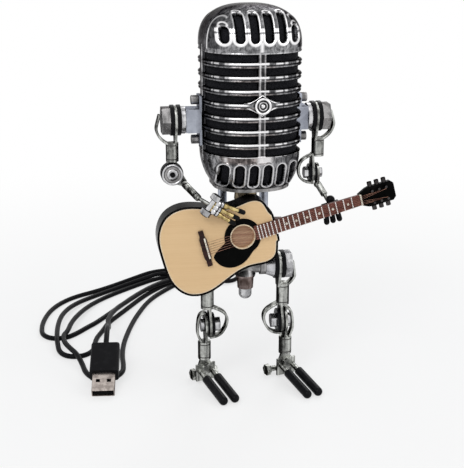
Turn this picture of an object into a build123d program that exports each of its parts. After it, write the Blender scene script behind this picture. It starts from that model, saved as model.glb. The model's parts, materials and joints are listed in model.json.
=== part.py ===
from build123d import *
import os
from math import asin, atan2, cos, degrees, pi, radians, sin, sqrt, tan

# Robot shaped desk lamp with a guitar. Millimetres, +Z up, the robot faces -Y.
# The model is built about the robot's own upright axis and then moved, so that the origin
# is the centre of the standing robot's footprint box, on the surface it stands on.
# "right" and "left" are the robot's own; its right is -X.

# ---------------------------------------------------------------- driving dimensions
AXIS_X = -12.52             # where the robot's upright axis lies in the part's frame
AXIS_Y = 2.67

RUN_CLEAR = 0.05            # radial clearance of a bolt, stud or button in its hole
HEX_SPIN = 30.0             # spin that stands a hexagon on its corner
SEAT_GAP = 0.3              # gap between neighbours that only lie close

# head: a microphone shaped shell
HEAD_TOP = 200.0
HEAD_BASE = 111.6
HEAD_HALF_W = 24.2
HEAD_HALF_D = 26.0
HEAD_CORNER = 20.5
HEAD_X = 1.6                # how far its middle lies off the robot's axis
HEAD_TURN = 3.0             # degrees, towards the robot's left
HEAD_WALL = 1.6
DOME_HEIGHT = 20.0
DOME_POWER = 2.55
CHIN_HEIGHT = 27.5
CHIN_POWER = 2.0
CHIN_RISE = 16.4            # height of the chin's curve above the head's base
ROW_COUNT = 8
ROW_OPEN_SHARE = 0.511      # height of a slot as a share of the rows' pitch
ROWS_BELOW_DOME = 2.0
ROWS_ABOVE_CHIN = 1.48
SPINE_WIDTH = 3.7
SIDE_BAND = 8.0             # smooth band left on each side between the slots
SLOT_COUNT = 6
SLOT_PITCH = 6.9
SLOT_WIDTH = 4.2
DOME_SLOT_RISE = 2.8        # from the dome's foot up to the foot of its slots
DOME_SLOT_LEN = 13.6
DOME_SLOT_LEN_OUTER = 7.6
CHIN_SLOT_RISE = 1.6        # from the head's base up to the foot of the chin's slots
CHIN_SLOT_LEN = 11.4
BADGE_Z = 154.0
BADGE_DIA = 8.1
BADGE_PROUD = 1.6
FLARE_LENGTH = 13.0
FLARE_HEIGHT = 9.6
FLARE_THICK = 0.9
FOAM_THICK = 2.0
BASE_PLATE_THICK = 1.6
FOAM_LIFT = 1.2             # how far the foam stays above the base plate
COLLAR_DIA = 12.0
COLLAR_DIA_TOP = 10.4
COLLAR_HEIGHT = 8.4
CARRIER_DIA = 5.0
LED_BOARD_DIA = 30.0
LED_BOARD_THICK = 1.6
LED_BOARD_Z = 151.0
LED_COUNT = 6
LED_RING_DIA = 20.0
LED_SIZE = 3.0
LED_THICK = 0.9

# torso
NECK_DIA = 8.0
POST_DIA = 4.6
POST_SPREAD = 11.0          # distance of each post from the axis
POST_BACK = 7.0
TORSO_PLATE_Z = 74.0        # underside
TORSO_PLATE_THICK = 2.5
TORSO_PLATE_HALF_W = 14.0
TORSO_PLATE_FRONT = 6.5
TORSO_PLATE_BACK = 10.5
TORSO_PLATE_CORNER = 4.0
WAIST_STUD_DIA = 5.0

# shoulders, out from the head's side along X
SHOULDER_Z = 143.5
BRACKET_SEAT = 0.3          # how far the bracket's flange stands off the head's side
BRACKET_OUT = 31.0
BRACKET_HALF_HEIGHT = 5.8
BRACKET_WIDTH = 11.0
BRACKET_THICK = 1.4
FLANGE_REACH = 6.5
FLANGE_SCREW_OFFSET = 9.9
FLANGE_SCREW_DIA = 4.6
FLANGE_SCREW_HEIGHT = 3.6
SPACER_DIA = 13.6
SPACER_LEN = 2.3
SHOULDER_WASHER_DIA = 15.4
SHOULDER_WASHER_LEN = 2.0
SHOULDER_HEX = 13.0
SHOULDER_HEX_LEN = 4.3
SHOULDER_BOLT_DIA = 5.0

# upper arms
ARM_BARREL_X = 37.6
ARM_BARREL_DIA = 6.4
ARM_BARREL_TOP = 132.3
ARM_BARREL_FOOT = 122.8
LUG_THICK = 1.2
SHOULDER_EYE_DIA = 14.4
STRAP_THICK = 1.2
STRAP_WIDTH = 4.6

# right elbow, whose bolt points forward
R_ELBOW_Z = 116.5
R_ELBOW_X = -38.0
R_ELBOW_EYE_DIA = 9.2
R_ELBOW_WASHER_DIA = 11.4
R_ELBOW_CUP_DIA = 10.8
R_ELBOW_CUP_LEN = 1.3
ELBOW_WASHER_LEN = 1.4
ELBOW_BOLT_DIA = 3.0
ELBOW_NUT = 5.5
ELBOW_NUT_LEN = 2.4

# left elbow, whose bolt lies along X
L_ELBOW_Z = 114.2
L_ELBOW_EYE_DIA = 9.6
L_ELBOW_WASHER_DIA = 9.0
L_ELBOW_LUG_X = 34.2        # inner face of the upper arm's eye

# forearms and hands
FOREARM_DIA = 3.5
WRIST_ROD_DIA = 1.9
R_FOREARM_FROM = (-32.3, -6.8, 112.0)
R_FOREARM_TO = (-27.6, -21.0, 108.6)
R_PALM_LOW = (-24.0, -26.6, 103.6)
R_PALM_HIGH = (-20.4, -26.6, 108.6)
PALM_BAR_DIA = 2.6
PALM_NUT = 5.0
PALM_NUT_LEN = 2.6
R_FINGER_TIPS = ((-10.9, -26.0, 96.3), (-9.0, -26.4, 98.9), (-6.2, -26.6, 101.8))
FINGER_DIA = 1.9
FINGER_SLEEVE_DIA = 2.7
FINGER_SLEEVE_SHARE = 0.42
FINGERTIP_DIA = 2.4
FINGERTIP_LEN = 2.6
L_FOREARM_FROM = (37.9, -1.8, 107.9)
L_FOREARM_TO = (40.2, -6.4, 103.4)
L_PALM = (42.4, -11.2, 98.4)
L_PALM_LENGTH = 9.0
L_PALM_HEIGHT = 4.4
L_PALM_THICK = 2.6
L_FINGER_DROP = 6.0
L_FINGER_DIA = 2.9
L_FINGER_REACH = 3.2
L_THUMB_DIA = 4.6

# guitar, in its own plane: u along the neck, v across it, w out of the soundboard
GUITAR_TILT = 15.0
GUITAR_HOLE_X = -5.6
GUITAR_HOLE_Z = 88.1
GUITAR_FRONT_Y = -22.5
GUITAR_DEPTH = 9.8
GUITAR_WALL = 1.3
GUITAR_TOP_THICK = 1.4
GUITAR_TAIL_U = -41.8
GUITAR_SHOULDER_U = 17.7
LOWER_BOUT_HALF = 23.5
WAIST_HALF = 16.7
UPPER_BOUT_HALF = 17.3
HOLE_DIA = 11.8
NECK_WIDE = 7.4
NECK_NARROW = 5.6
NECK_DEPTH = 3.2
NUT_U = 62.0
FRETBOARD_U = 6.4
FRETBOARD_THICK = 1.0
HEADSTOCK_LEN = 18.6
HEADSTOCK_WIDE = 10.4
HEADSTOCK_THICK = 2.4
BRIDGE_U = -19.6
BRIDGE_LEN = 19.0
BRIDGE_WIDE = 3.6
BRIDGE_THICK = 1.1
BONE_THICK = 0.8
SADDLE_LEN = 11.0
STRING_DIA = 0.3
STRING_COUNT = 6
STRING_RISE = 0.5           # how far the saddle and nut stand above what they sit on
PICKGUARD_THICK = 0.35
PICKGUARD_RING = 18.6
PICKGUARD_OUTLINE = (       # in shares of the ring's radius, from the middle of the sound hole
    (-0.215, -0.957), (-0.968, -0.215), (-1.505, -0.387), (-1.634, -0.925),
    (-1.183, -1.484), (-0.366, -1.570), (0.387, -1.247), (0.903, -0.452),
)
TUNER_POST_DIA = 1.3
TUNER_KNOB_DIA = 2.4
TUNER_KNOB_LEN = 2.2

# pelvis: a pipe tee that lies along X
HIP_Z = 64.9
TEE_DIA = 8.0
TEE_FLANGE_DIA = 10.0
TEE_HALF = 10.4
TEE_FLANGE_LEN = 2.9
TEE_TOP = 73.0
BRANCH_DIA = 11.0
BRANCH_FOOT = 60.4
CUP_DIA = 13.6
CUP_LEN = 4.5
HIP_WASHER_DIA = 15.0
HIP_WASHER_LEN = 2.2
HIP_EYE_DIA = 14.0
HIP_LUG_THICK = 1.4
HIP_HEX = 13.0
HIP_HEX_LEN = 3.8
HIP_BOLT_DIA = 5.0
REAR_BOSS_DIA = 7.2
REAR_BOSS_END = 6.5

# push switch below the pelvis
GASKET_THICK = 1.1
SWITCH_DIA = 9.0
SWITCH_DIA_FOOT = 8.3
SWITCH_LEN = 6.4
BUTTON_DIA = 6.9
BUTTON_FOOT = 46.8
BUTTON_TRAVEL = 1.5
BUTTON_IN_BORE = 3.2

# legs
THIGH_BARREL_X = 20.4
SHIN_BARREL_X = 22.2
LEG_BARREL_DIA = 6.9
THIGH_TOP = 54.2
THIGH_FOOT = 42.4
KNEE_Z = 33.0
SHIN_TOP = 23.6
SHIN_FOOT = 13.8
KNEE_EYE_DIA = 13.8
KNEE_WASHER_DIA = 12.8
KNEE_LUG_X = 18.7           # inner face of the thigh's eye
KNEE_WASHER_LEN = 1.7
KNEE_MID_WASHER_LEN = 1.1
KNEE_BOLT_DIA = 3.9
KNEE_NUT = 7.0
KNEE_NUT_LEN = 3.2
KNEE_HEAD_DIA = 7.4
KNEE_HEAD_LEN = 2.0

# feet
ANKLE_Z = 8.0
ANKLE_EYE_DIA = 8.8
ANKLE_BOLT_DIA = 3.0
FOOT_YAW = 17.0             # toes turn towards +X on both feet
FOOT_PLATE_THICK = 1.2
FOOT_HALF_W = 5.6
FOOT_PLATE_TOP = 11.0
SOLE_Z = 1.5
SOLE_THICK = 1.2
HEEL_BACK = 5.0
HEEL_NUT = 5.5
HEEL_NUT_LEN = 2.4
HEEL_REACH = 9.2
TOE_SPREAD = 3.3
TOE_DIA = 4.7
TOE_SHANK_DIA = 2.8
TOE_ROOT_Z = 7.2
TOE_CAP_FROM = 9.5
TOE_REACH = 29.5
TOE_FLAT = 0.15             # how much of the toe's round tip is flattened where it stands

# cord
CORD_DIA = 3.0
GLAND_END = 19.0
GLAND_TIP_DIA = 4.4
CORD_LEAD = (
    (0.0, 19.0, 64.9),
    (0.0, 34.0, 64.9),
    (-2.4, 50.0, 58.6),
    (-5.5, 66.0, 45.5),
    (-7.6, 79.0, 30.0),
    (-7.4, 90.0, 15.5),
    (-5.2, 103.0, 5.2),
    (-2.2, 118.0, 1.5),
    (-0.8, 133.0, 1.5),
    (-0.8, 148.0, 1.5),
)
HANK_OUTLINE = (
    (-26.5, 137.0), (-19.0, 147.0), (-2.0, 151.0), (13.0, 145.5), (25.0, 149.0), (30.0, 162.0),
    (31.0, 179.0), (22.0, 187.5), (4.0, 187.0), (-10.0, 179.0), (-34.0, 171.5), (-60.0, 159.5),
    (-80.0, 146.0), (-97.0, 134.0), (-108.5, 112.0), (-112.2, 88.0), (-111.0, 72.0),
    (-102.5, 64.0), (-101.5, 44.0), (-90.0, 35.5), (-70.0, 36.5), (-61.0, 48.0),
    (-55.0, 78.0), (-46.5, 104.0), (-35.0, 128.0),
)
HANK_GAP = (                # the leaf shaped gap between the two sides of the hank
    (-51.5, 140.0), (-62.0, 136.0), (-72.5, 125.5), (-80.0, 112.0), (-86.5, 96.0), (-89.5, 84.0),
    (-86.5, 81.5), (-79.0, 91.5), (-70.5, 104.5), (-62.5, 117.0), (-55.0, 129.0),
)
HANK_HEIGHT = 7.6
HANK_CORNER = 4.0
HANK_GAP_CORNER = 1.5
PILE_OUTLINE = ((-80.0, 76.0), (-58.5, 76.0), (-60.0, 104.0), (-82.0, 104.0))
PILE_HEIGHT = 11.4
TONGUE_BOX = ((-88.0, 6.0), (-62.5, 40.0))

TAIL_STRAIGHT = 11.8        # the cord's way straight out of the plug
TAIL_CROWN = 12.0           # from there ahead to the top of its arch
TAIL_DESCENT = 23.4
TAIL_SAG = 1.6
TAIL_ON_HANK = 10.5         # last run, on the hank
TAIL_DRIFT = (1.0, 1.8, 2.2, 2.2)

PLUG_TIP = (-77.4, -9.6)
PLUG_TURN = 6.5             # its axis turns this much from +Y towards +X
PLUG_TILT = 22.0
SHELL_LEN = 12.5
SHELL_WIDE = 12.0
SHELL_THICK = 4.5
SHELL_WALL = 0.4
OVERMOULD_LEN = 22.0
OVERMOULD_WIDE = 15.4
OVERMOULD_THICK = 8.0

# ---------------------------------------------------------------- helpers
X = Vector(1, 0, 0)
Y = Vector(0, 1, 0)
Z = Vector(0, 0, 1)
SIDES = {"right": -1, "left": 1}
NODES = {}


def keep(name, *pieces):
    """Remember the solids of one node."""
    solids = []
    for piece in pieces:
        solids += piece.solids()
    NODES[name] = solids


def rod(start, end, dia, end_dia=None):
    """Round bar, or a taper, from one point to another."""
    start, end = Vector(*start), Vector(*end)
    length = (end - start).length
    plane = Plane(origin=start, z_dir=end - start)
    low = (Align.CENTER, Align.CENTER, Align.MIN)
    if end_dia is None or end_dia == dia:
        return plane * Cylinder(dia / 2, length, align=low)
    return plane * Cone(dia / 2, end_dia / 2, length, align=low)


def rod_x(x1, x2, z, dia, y=0.0, end_dia=None):
    """Round bar along X."""
    return rod((x1, y, z), (x2, y, z), dia, end_dia)


def prism(start, end, across, spin=0.0):
    """Hexagonal bar, measured across its flats."""
    start, end = Vector(*start), Vector(*end)
    plane = Plane(origin=start, z_dir=end - start)
    outline = Rot(0, 0, spin) * RegularPolygon(across / 2, 6, major_radius=False)
    return plane * extrude(outline, (end - start).length)


def ring(start, end, dia, bore):
    """Washer or sleeve."""
    return rod(start, end, dia) - rod(start, end, bore)


def eye(origin, axis, tongue, dia, bore, thick, tongue_len, tongue_w, tab=None):
    """Flat eye with a tongue that tapers towards its barrel, standing on the origin along axis."""
    plane = Plane(origin=origin, x_dir=tongue.cross(axis), z_dir=axis)
    half, wide = tongue_w / 2, dia * 0.44
    shape = Circle(dia / 2)
    shape += make_face(Polyline((-wide, dia * 0.2), (wide, dia * 0.2), (half, tongue_len),
                                (-half, tongue_len), close=True))
    if tab:
        shape += Pos(0, -tab / 2) * Rectangle(STRAP_WIDTH, tab)
    shape -= Circle(bore / 2)
    return plane * extrude(shape, thick)


def strap(points, radius, width=STRAP_WIDTH):
    """Bent flat strap that lies in an XZ plane."""
    path = FilletPolyline(*points, radius=radius)
    section = Plane(origin=path @ 0, x_dir=Y, z_dir=path % 0) * Rectangle(width, STRAP_THICK)
    return sweep(section, path=path)


def capsule(start, end, dia):
    """Round bar with ball ends."""
    start, end = Vector(*start), Vector(*end)
    r, length, slant = dia / 2, (end - start).length, dia / 2 * sin(pi / 4)
    lower = ThreePointArc((0, -r), (slant, -slant), (r, 0))
    upper = ThreePointArc((r, length), (slant, length + slant), (0, length + r))
    half = make_face(lower + Line((r, 0), (r, length)) + upper + Line((0, length + r), (0, -r)))
    return Plane(origin=start, z_dir=end - start) * revolve(Plane.XZ * half, Axis.Z)


def joined(*pieces):
    """One solid from pieces that overlap."""
    body = pieces[0]
    for piece in pieces[1:]:
        body = body + piece
    return body


# ---------------------------------------------------------------- head
HEAD_SEAT = Pos(HEAD_X, 0, 0) * Rot(0, 0, HEAD_TURN)
CHIN_TOP = HEAD_BASE + CHIN_RISE
DOME_FOOT = HEAD_TOP - DOME_HEIGHT
ROW_TOP = DOME_FOOT - ROWS_BELOW_DOME
ROW_PITCH = (ROW_TOP - CHIN_TOP - ROWS_ABOVE_CHIN) / (ROW_COUNT - 1 + ROW_OPEN_SHARE)
ROW_HEIGHT = ROW_PITCH * ROW_OPEN_SHARE


def head_share(z, inset):
    """Width of the head at this height, as a share of its full width."""
    top, base = HEAD_TOP - inset, CHIN_TOP - CHIN_HEIGHT + inset
    if z > DOME_FOOT:
        rise = min((z - DOME_FOOT) / (top - DOME_FOOT), 0.997)
        return (1 - rise ** DOME_POWER) ** (1 / DOME_POWER)
    if z < CHIN_TOP:
        drop = min((CHIN_TOP - z) / (CHIN_TOP - base), 0.995)
        return (1 - drop ** CHIN_POWER) ** (1 / CHIN_POWER)
    return 1.0


def head_section(z, inset):
    """Rounded outline of the head at one height."""
    share = head_share(z, inset)
    half_w = (HEAD_HALF_W - inset) * share
    half_d = (HEAD_HALF_D - inset) * share
    corner = (HEAD_CORNER - inset) * share
    return Pos(0, 0, z) * RectangleRounded(2 * half_w, 2 * half_d, corner)


def head_form(inset, base):
    """Solid form of the head, its surface moved in by inset."""
    top = HEAD_TOP - inset
    dome = [head_section(DOME_FOOT + (top - DOME_FOOT) * k, inset)
            for k in (0.0, 0.2, 0.4, 0.58, 0.73, 0.85, 0.93, 0.98, 1.0)]
    chin = [head_section(base + (CHIN_TOP - base) * k, inset)
            for k in (0.0, 0.15, 0.32, 0.55, 0.8, 1.0)]
    middle = extrude(head_section(CHIN_TOP, inset), DOME_FOOT - CHIN_TOP)
    return loft(chin) + middle + loft(dome)


def slot_cutter(x, foot, height):
    """Upright slot with round ends, cut through the front and the rear wall."""
    outline = Pos(0, height / 2) * SlotOverall(height, SLOT_WIDTH, rotation=90)
    return Pos(x, 0, foot) * extrude(Plane.XZ * outline, 2 * HEAD_HALF_D, both=True)


def head_cutters():
    """All slots of the head, the same at the front and the rear."""
    cutters = []
    reach = HEAD_HALF_W + HEAD_WALL
    for row in range(ROW_COUNT):
        z = ROW_TOP - ROW_PITCH * row - ROW_HEIGHT / 2
        for side in (-1, 1):
            for face in (-1, 1):
                wide, deep = reach - SPINE_WIDTH / 2, HEAD_HALF_D - SIDE_BAND / 2 + HEAD_WALL
                x = side * (SPINE_WIDTH / 2 + wide / 2)
                y = face * (SIDE_BAND / 2 + deep / 2)
                cutters.append(Pos(x, y, z) * Box(wide, deep, ROW_HEIGHT))
    for n in range(SLOT_COUNT):
        x = (n - (SLOT_COUNT - 1) / 2) * SLOT_PITCH
        outer = n in (0, SLOT_COUNT - 1)
        length = DOME_SLOT_LEN_OUTER if outer else DOME_SLOT_LEN
        cutters.append(slot_cutter(x, DOME_FOOT + DOME_SLOT_RISE, length))
        cutters.append(slot_cutter(x, HEAD_BASE + CHIN_SLOT_RISE, CHIN_SLOT_LEN))
    return cutters


def make_head():
    """Front and rear shell, badge, foam, base plate, LED carrier and board."""
    shell = head_form(0, HEAD_BASE) - head_form(HEAD_WALL, HEAD_BASE)
    shell -= head_cutters()
    half = Box(4 * HEAD_HALF_W, 2 * HEAD_HALF_D, HEAD_TOP + HEAD_BASE,
               align=(Align.CENTER, Align.MAX, Align.MIN))
    front, rear = shell & half, shell - half

    face_y = -HEAD_HALF_D
    flare = make_face(Polyline((-FLARE_LENGTH / 2, 0), (0, FLARE_HEIGHT / 2), (FLARE_LENGTH / 2, 0),
                               (0, -FLARE_HEIGHT / 2), close=True))
    flare_plane = Plane(origin=(0, face_y + HEAD_WALL, BADGE_Z), x_dir=X, z_dir=-Y)
    front += flare_plane * extrude(flare, HEAD_WALL + FLARE_THICK)
    keep("head_front_shell", HEAD_SEAT * front)
    keep("head_rear_shell", HEAD_SEAT * rear)

    badge_plane = Plane(origin=(0, face_y - FLARE_THICK, BADGE_Z), x_dir=X, z_dir=-Y)
    badge = extrude(Circle(BADGE_DIA / 2), BADGE_PROUD)
    badge -= Pos(0, 0, BADGE_PROUD * 0.6) * extrude(Circle(BADGE_DIA * 0.36)
                                                    - Circle(BADGE_DIA * 0.22), BADGE_PROUD)
    keep("head_badge", HEAD_SEAT * (badge_plane * badge))

    liner = HEAD_WALL + RUN_CLEAR
    foam_base = HEAD_BASE + FOAM_LIFT
    foam = head_form(liner, foam_base) - head_form(liner + FOAM_THICK, foam_base)
    keep("head_foam", HEAD_SEAT * foam)

    plate = Pos(0, 0, -BASE_PLATE_THICK) * extrude(head_section(HEAD_BASE, 0), BASE_PLATE_THICK)
    plate = HEAD_SEAT * plate
    plate -= rod((0, 0, HEAD_BASE - 10), (0, 0, HEAD_BASE + 1), CARRIER_DIA - 2 * HEAD_WALL)
    keep("head_base_plate", plate)

    carrier = rod((0, 0, HEAD_BASE), (0, 0, LED_BOARD_Z), CARRIER_DIA)
    carrier += rod((0, 0, HEAD_BASE), (0, 0, HEAD_BASE + HEAD_WALL), 2 * CARRIER_DIA)
    carrier -= rod((0, 0, HEAD_BASE - 1), (0, 0, LED_BOARD_Z - HEAD_WALL), CARRIER_DIA - 2 * HEAD_WALL)
    keep("led_carrier", carrier)

    board_top = LED_BOARD_Z + LED_BOARD_THICK
    board = rod((0, 0, LED_BOARD_Z), (0, 0, board_top), LED_BOARD_DIA)
    low = (Align.CENTER, Align.CENTER, Align.MIN)
    chips = [Rot(0, 0, 360 / LED_COUNT * n) * Pos(LED_RING_DIA / 2, 0, board_top)
             * Box(LED_SIZE, LED_SIZE, LED_THICK, align=low) for n in range(LED_COUNT)]
    keep("led_board", board, *chips)


# ---------------------------------------------------------------- torso
def make_torso():
    """Neck tube and its collar, two posts and the plate that turns on the waist stud."""
    head_foot = HEAD_BASE - BASE_PLATE_THICK
    collar_foot = head_foot - COLLAR_HEIGHT
    plate_top = TORSO_PLATE_Z + TORSO_PLATE_THICK
    neck = rod((0, 0, plate_top), (0, 0, head_foot), NECK_DIA)
    neck -= rod((0, 0, plate_top), (0, 0, head_foot), WAIST_STUD_DIA + 0.6)
    keep("neck_tube", neck)
    collar = rod((0, 0, collar_foot), (0, 0, head_foot), COLLAR_DIA, COLLAR_DIA_TOP)
    keep("neck_collar", collar - rod((0, 0, collar_foot), (0, 0, head_foot), NECK_DIA))

    keep("torso_posts", *[rod((s * POST_SPREAD, POST_BACK, plate_top),
                              (s * POST_SPREAD, POST_BACK, head_foot), POST_DIA)
                          for s in SIDES.values()])

    deep = TORSO_PLATE_FRONT + TORSO_PLATE_BACK
    outline = RectangleRounded(2 * TORSO_PLATE_HALF_W, deep, TORSO_PLATE_CORNER)
    plate = Pos(0, deep / 2 - TORSO_PLATE_FRONT, TORSO_PLATE_Z) * extrude(outline, TORSO_PLATE_THICK)
    stud_hole = WAIST_STUD_DIA + 2 * RUN_CLEAR
    plate -= rod((0, 0, TORSO_PLATE_Z - 1), (0, 0, plate_top + 1), stud_hole)
    keep("torso_plate", plate)


# ---------------------------------------------------------------- shoulders
def make_shoulders():
    """Hat brackets, their screws, spacers and hex bolts, the same on both sides."""
    brackets, screws, spacers, bolts = [], [], [], []
    for side in SIDES.values():
        foot = HEAD_HALF_W + side * HEAD_X + BRACKET_SEAT

        def along(x1, x2, dia, z=SHOULDER_Z):
            return rod_x(side * x1, side * x2, z, dia)

        hat_half, thick = BRACKET_HALF_HEIGHT, BRACKET_THICK
        reach = hat_half + FLANGE_REACH
        outline = Polyline(
            (foot, -reach), (foot + thick, -reach), (foot + thick, -hat_half),
            (BRACKET_OUT, -hat_half), (BRACKET_OUT, hat_half), (foot + thick, hat_half),
            (foot + thick, reach), (foot, reach), (foot, hat_half - thick),
            (BRACKET_OUT - thick, hat_half - thick), (BRACKET_OUT - thick, thick - hat_half),
            (foot, thick - hat_half), close=True)
        hat = extrude(Plane.XZ * make_face(outline), BRACKET_WIDTH / 2, both=True)
        hat = Pos(0, 0, SHOULDER_Z) * hat
        hat -= rod_x(foot, BRACKET_OUT + 1, SHOULDER_Z, SHOULDER_BOLT_DIA + 2 * RUN_CLEAR)
        if side < 0:
            hat = hat.mirror(Plane.YZ)
        brackets.append(hat)

        for up in (-1, 1):
            z = SHOULDER_Z + up * FLANGE_SCREW_OFFSET
            screws.append(along(foot + thick, foot + thick + FLANGE_SCREW_HEIGHT, FLANGE_SCREW_DIA, z))

        spacer_end = BRACKET_OUT + SPACER_LEN
        bore = SHOULDER_BOLT_DIA + 2 * RUN_CLEAR
        spacers.append(along(BRACKET_OUT, spacer_end, SPACER_DIA) - along(BRACKET_OUT, spacer_end, bore))

        hex_from = shoulder_stack()["hex"]
        shank = along(BRACKET_OUT - thick, hex_from + 0.5, SHOULDER_BOLT_DIA)
        head = prism((side * hex_from, 0, SHOULDER_Z),
                     (side * (hex_from + SHOULDER_HEX_LEN), 0, SHOULDER_Z), SHOULDER_HEX, HEX_SPIN)
        nut_from = BRACKET_OUT - thick - ELBOW_NUT_LEN
        inner = prism((side * nut_from, 0, SHOULDER_Z),
                      (side * (BRACKET_OUT - thick), 0, SHOULDER_Z), BRACKET_HALF_HEIGHT * 1.3)
        bolts.append(joined(shank, head, inner))
    keep("shoulder_brackets", *brackets)
    keep("shoulder_spacers", *spacers)
    keep("shoulder_bolts", *bolts, *screws)


def shoulder_stack():
    """Places along X of what is stacked on each shoulder bolt."""
    washer = BRACKET_OUT + SPACER_LEN
    lug = washer + SHOULDER_WASHER_LEN
    outer = lug + LUG_THICK
    return {"washer": washer, "lug": lug, "outer": outer, "hex": outer + SHOULDER_WASHER_LEN}


# ---------------------------------------------------------------- arms
def upper_arm(side, elbow):
    """Upper arm: eye on the shoulder bolt, barrel, keeper strap round the hex, eye at the elbow."""
    stack = shoulder_stack()
    axis = X * side
    bore = SHOULDER_BOLT_DIA + 2 * RUN_CLEAR
    top_eye = eye((side * stack["lug"], 0, SHOULDER_Z), axis, -Z, SHOULDER_EYE_DIA, bore, LUG_THICK,
                  SHOULDER_Z - ARM_BARREL_TOP + 1.5, ARM_BARREL_DIA * 0.8)
    barrel = rod((side * ARM_BARREL_X, 0, ARM_BARREL_FOOT), (side * ARM_BARREL_X, 0, ARM_BARREL_TOP),
                 ARM_BARREL_DIA)
    hex_end = stack["hex"] + SHOULDER_HEX_LEN
    clear = hex_end + STRAP_THICK / 2 + SEAT_GAP
    points = ((ARM_BARREL_X + 0.6, ARM_BARREL_TOP - 1.2), (clear - 1.2, ARM_BARREL_TOP + 0.6),
              (clear + 2.1, SHOULDER_Z - 5.0), (clear + 1.2, SHOULDER_Z - 1.0), (clear, SHOULDER_Z + 3.0))
    keeper = strap([(side * x, 0, z) for x, z in points], 1.4)
    return joined(top_eye, barrel, keeper, elbow)


def make_right_arm():
    """Right arm: the elbow bolt points forward, the hand lies in front of the strings."""
    stack = shoulder_stack()
    bore = ELBOW_BOLT_DIA + 2 * RUN_CLEAR
    centre = (R_ELBOW_X, 0, R_ELBOW_Z)

    def at(y):
        return (centre[0], y, centre[2])

    half = LUG_THICK / 2
    drop = ARM_BARREL_FOOT - R_ELBOW_Z
    arm_eye = eye(at(half), -Y, Z, R_ELBOW_EYE_DIA, bore, LUG_THICK, drop + 1.5, ARM_BARREL_DIA * 0.6)
    keep("right_upper_arm", upper_arm(SIDES["right"], arm_eye))

    washer_y = -half - ELBOW_WASHER_LEN
    lug_y = washer_y - LUG_THICK
    back_y = half + ELBOW_WASHER_LEN
    cup_y = lug_y - R_ELBOW_CUP_LEN
    cup = rod(at(lug_y), at(cup_y), R_ELBOW_CUP_DIA)
    cup = chamfer(cup.faces().sort_by(Axis.Y)[0].edges(), R_ELBOW_CUP_LEN * 0.5)
    cup -= rod(at(cup_y - 1), at(cup_y + 0.6), R_ELBOW_CUP_DIA * 0.42)
    cup += rod(at(cup_y + 0.7), at(cup_y + 0.1), R_ELBOW_CUP_DIA * 0.3)
    shank = rod(at(lug_y - 0.5), at(back_y + ELBOW_NUT_LEN), ELBOW_BOLT_DIA)
    nut = prism(at(back_y), at(back_y + ELBOW_NUT_LEN), ELBOW_NUT)
    keep("right_elbow_bolt", joined(cup, shank, nut))

    shoulder_bore = SHOULDER_BOLT_DIA + 2 * RUN_CLEAR
    side = SIDES["right"]
    keep("right_arm_washers",
         ring((side * stack["washer"], 0, SHOULDER_Z), (side * stack["lug"], 0, SHOULDER_Z),
              SHOULDER_WASHER_DIA, shoulder_bore),
         ring((side * stack["outer"], 0, SHOULDER_Z), (side * stack["hex"], 0, SHOULDER_Z),
              SHOULDER_WASHER_DIA, shoulder_bore),
         ring(at(-half), at(washer_y), R_ELBOW_WASHER_DIA, bore),
         ring(at(half), at(back_y), R_ELBOW_WASHER_DIA, bore))

    start, end = Vector(*R_FOREARM_FROM), Vector(*R_FOREARM_TO)
    reach = Vector(start.X - centre[0], 0, start.Z - centre[2])
    forearm_eye = eye(at(washer_y), -Y, reach.normalized(), R_ELBOW_EYE_DIA, bore, LUG_THICK,
                      reach.length + 0.6, FOREARM_DIA)
    elbow_end = Vector(start.X, washer_y - half, start.Z)
    palm_mid = (Vector(*R_PALM_LOW) + Vector(*R_PALM_HIGH)) * 0.5
    forearm = joined(forearm_eye, rod(elbow_end, start, WRIST_ROD_DIA * 1.3),
                     rod(start, end, FOREARM_DIA), capsule(end, palm_mid, WRIST_ROD_DIA))
    bar = rod(R_PALM_LOW, R_PALM_HIGH, PALM_BAR_DIA)
    keep("right_forearm", forearm - bar)

    low, high = Vector(*R_PALM_LOW), Vector(*R_PALM_HIGH)
    along = (high - low).normalized()
    nuts = [prism(low, low - along * PALM_NUT_LEN, PALM_NUT),
            prism(high, high + along * PALM_NUT_LEN, PALM_NUT)]
    palm = joined(bar, *nuts)
    keep("right_palm", palm)

    fingers, tips = [], []
    for n, tip in enumerate(R_FINGER_TIPS):
        root = low + (high - low) * ((n + 0.5) / len(R_FINGER_TIPS))
        point = Vector(*tip)
        way = (point - root).normalized()
        seat = root + way * (PALM_BAR_DIA / 2)
        collar = seat + (point - seat) * FINGER_SLEEVE_SHARE
        cap = point - way * FINGERTIP_LEN
        finger = rod(seat - way * 0.4, cap, FINGER_DIA) + rod(seat - way * 0.4, collar, FINGER_SLEEVE_DIA)
        fingers.append(finger - palm - forearm)
        tips.append(rod(cap, point, FINGERTIP_DIA) + Pos(*point) * Sphere(FINGERTIP_DIA / 2))
    keep("right_fingers", *fingers)
    keep("right_fingertips", *tips)


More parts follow.
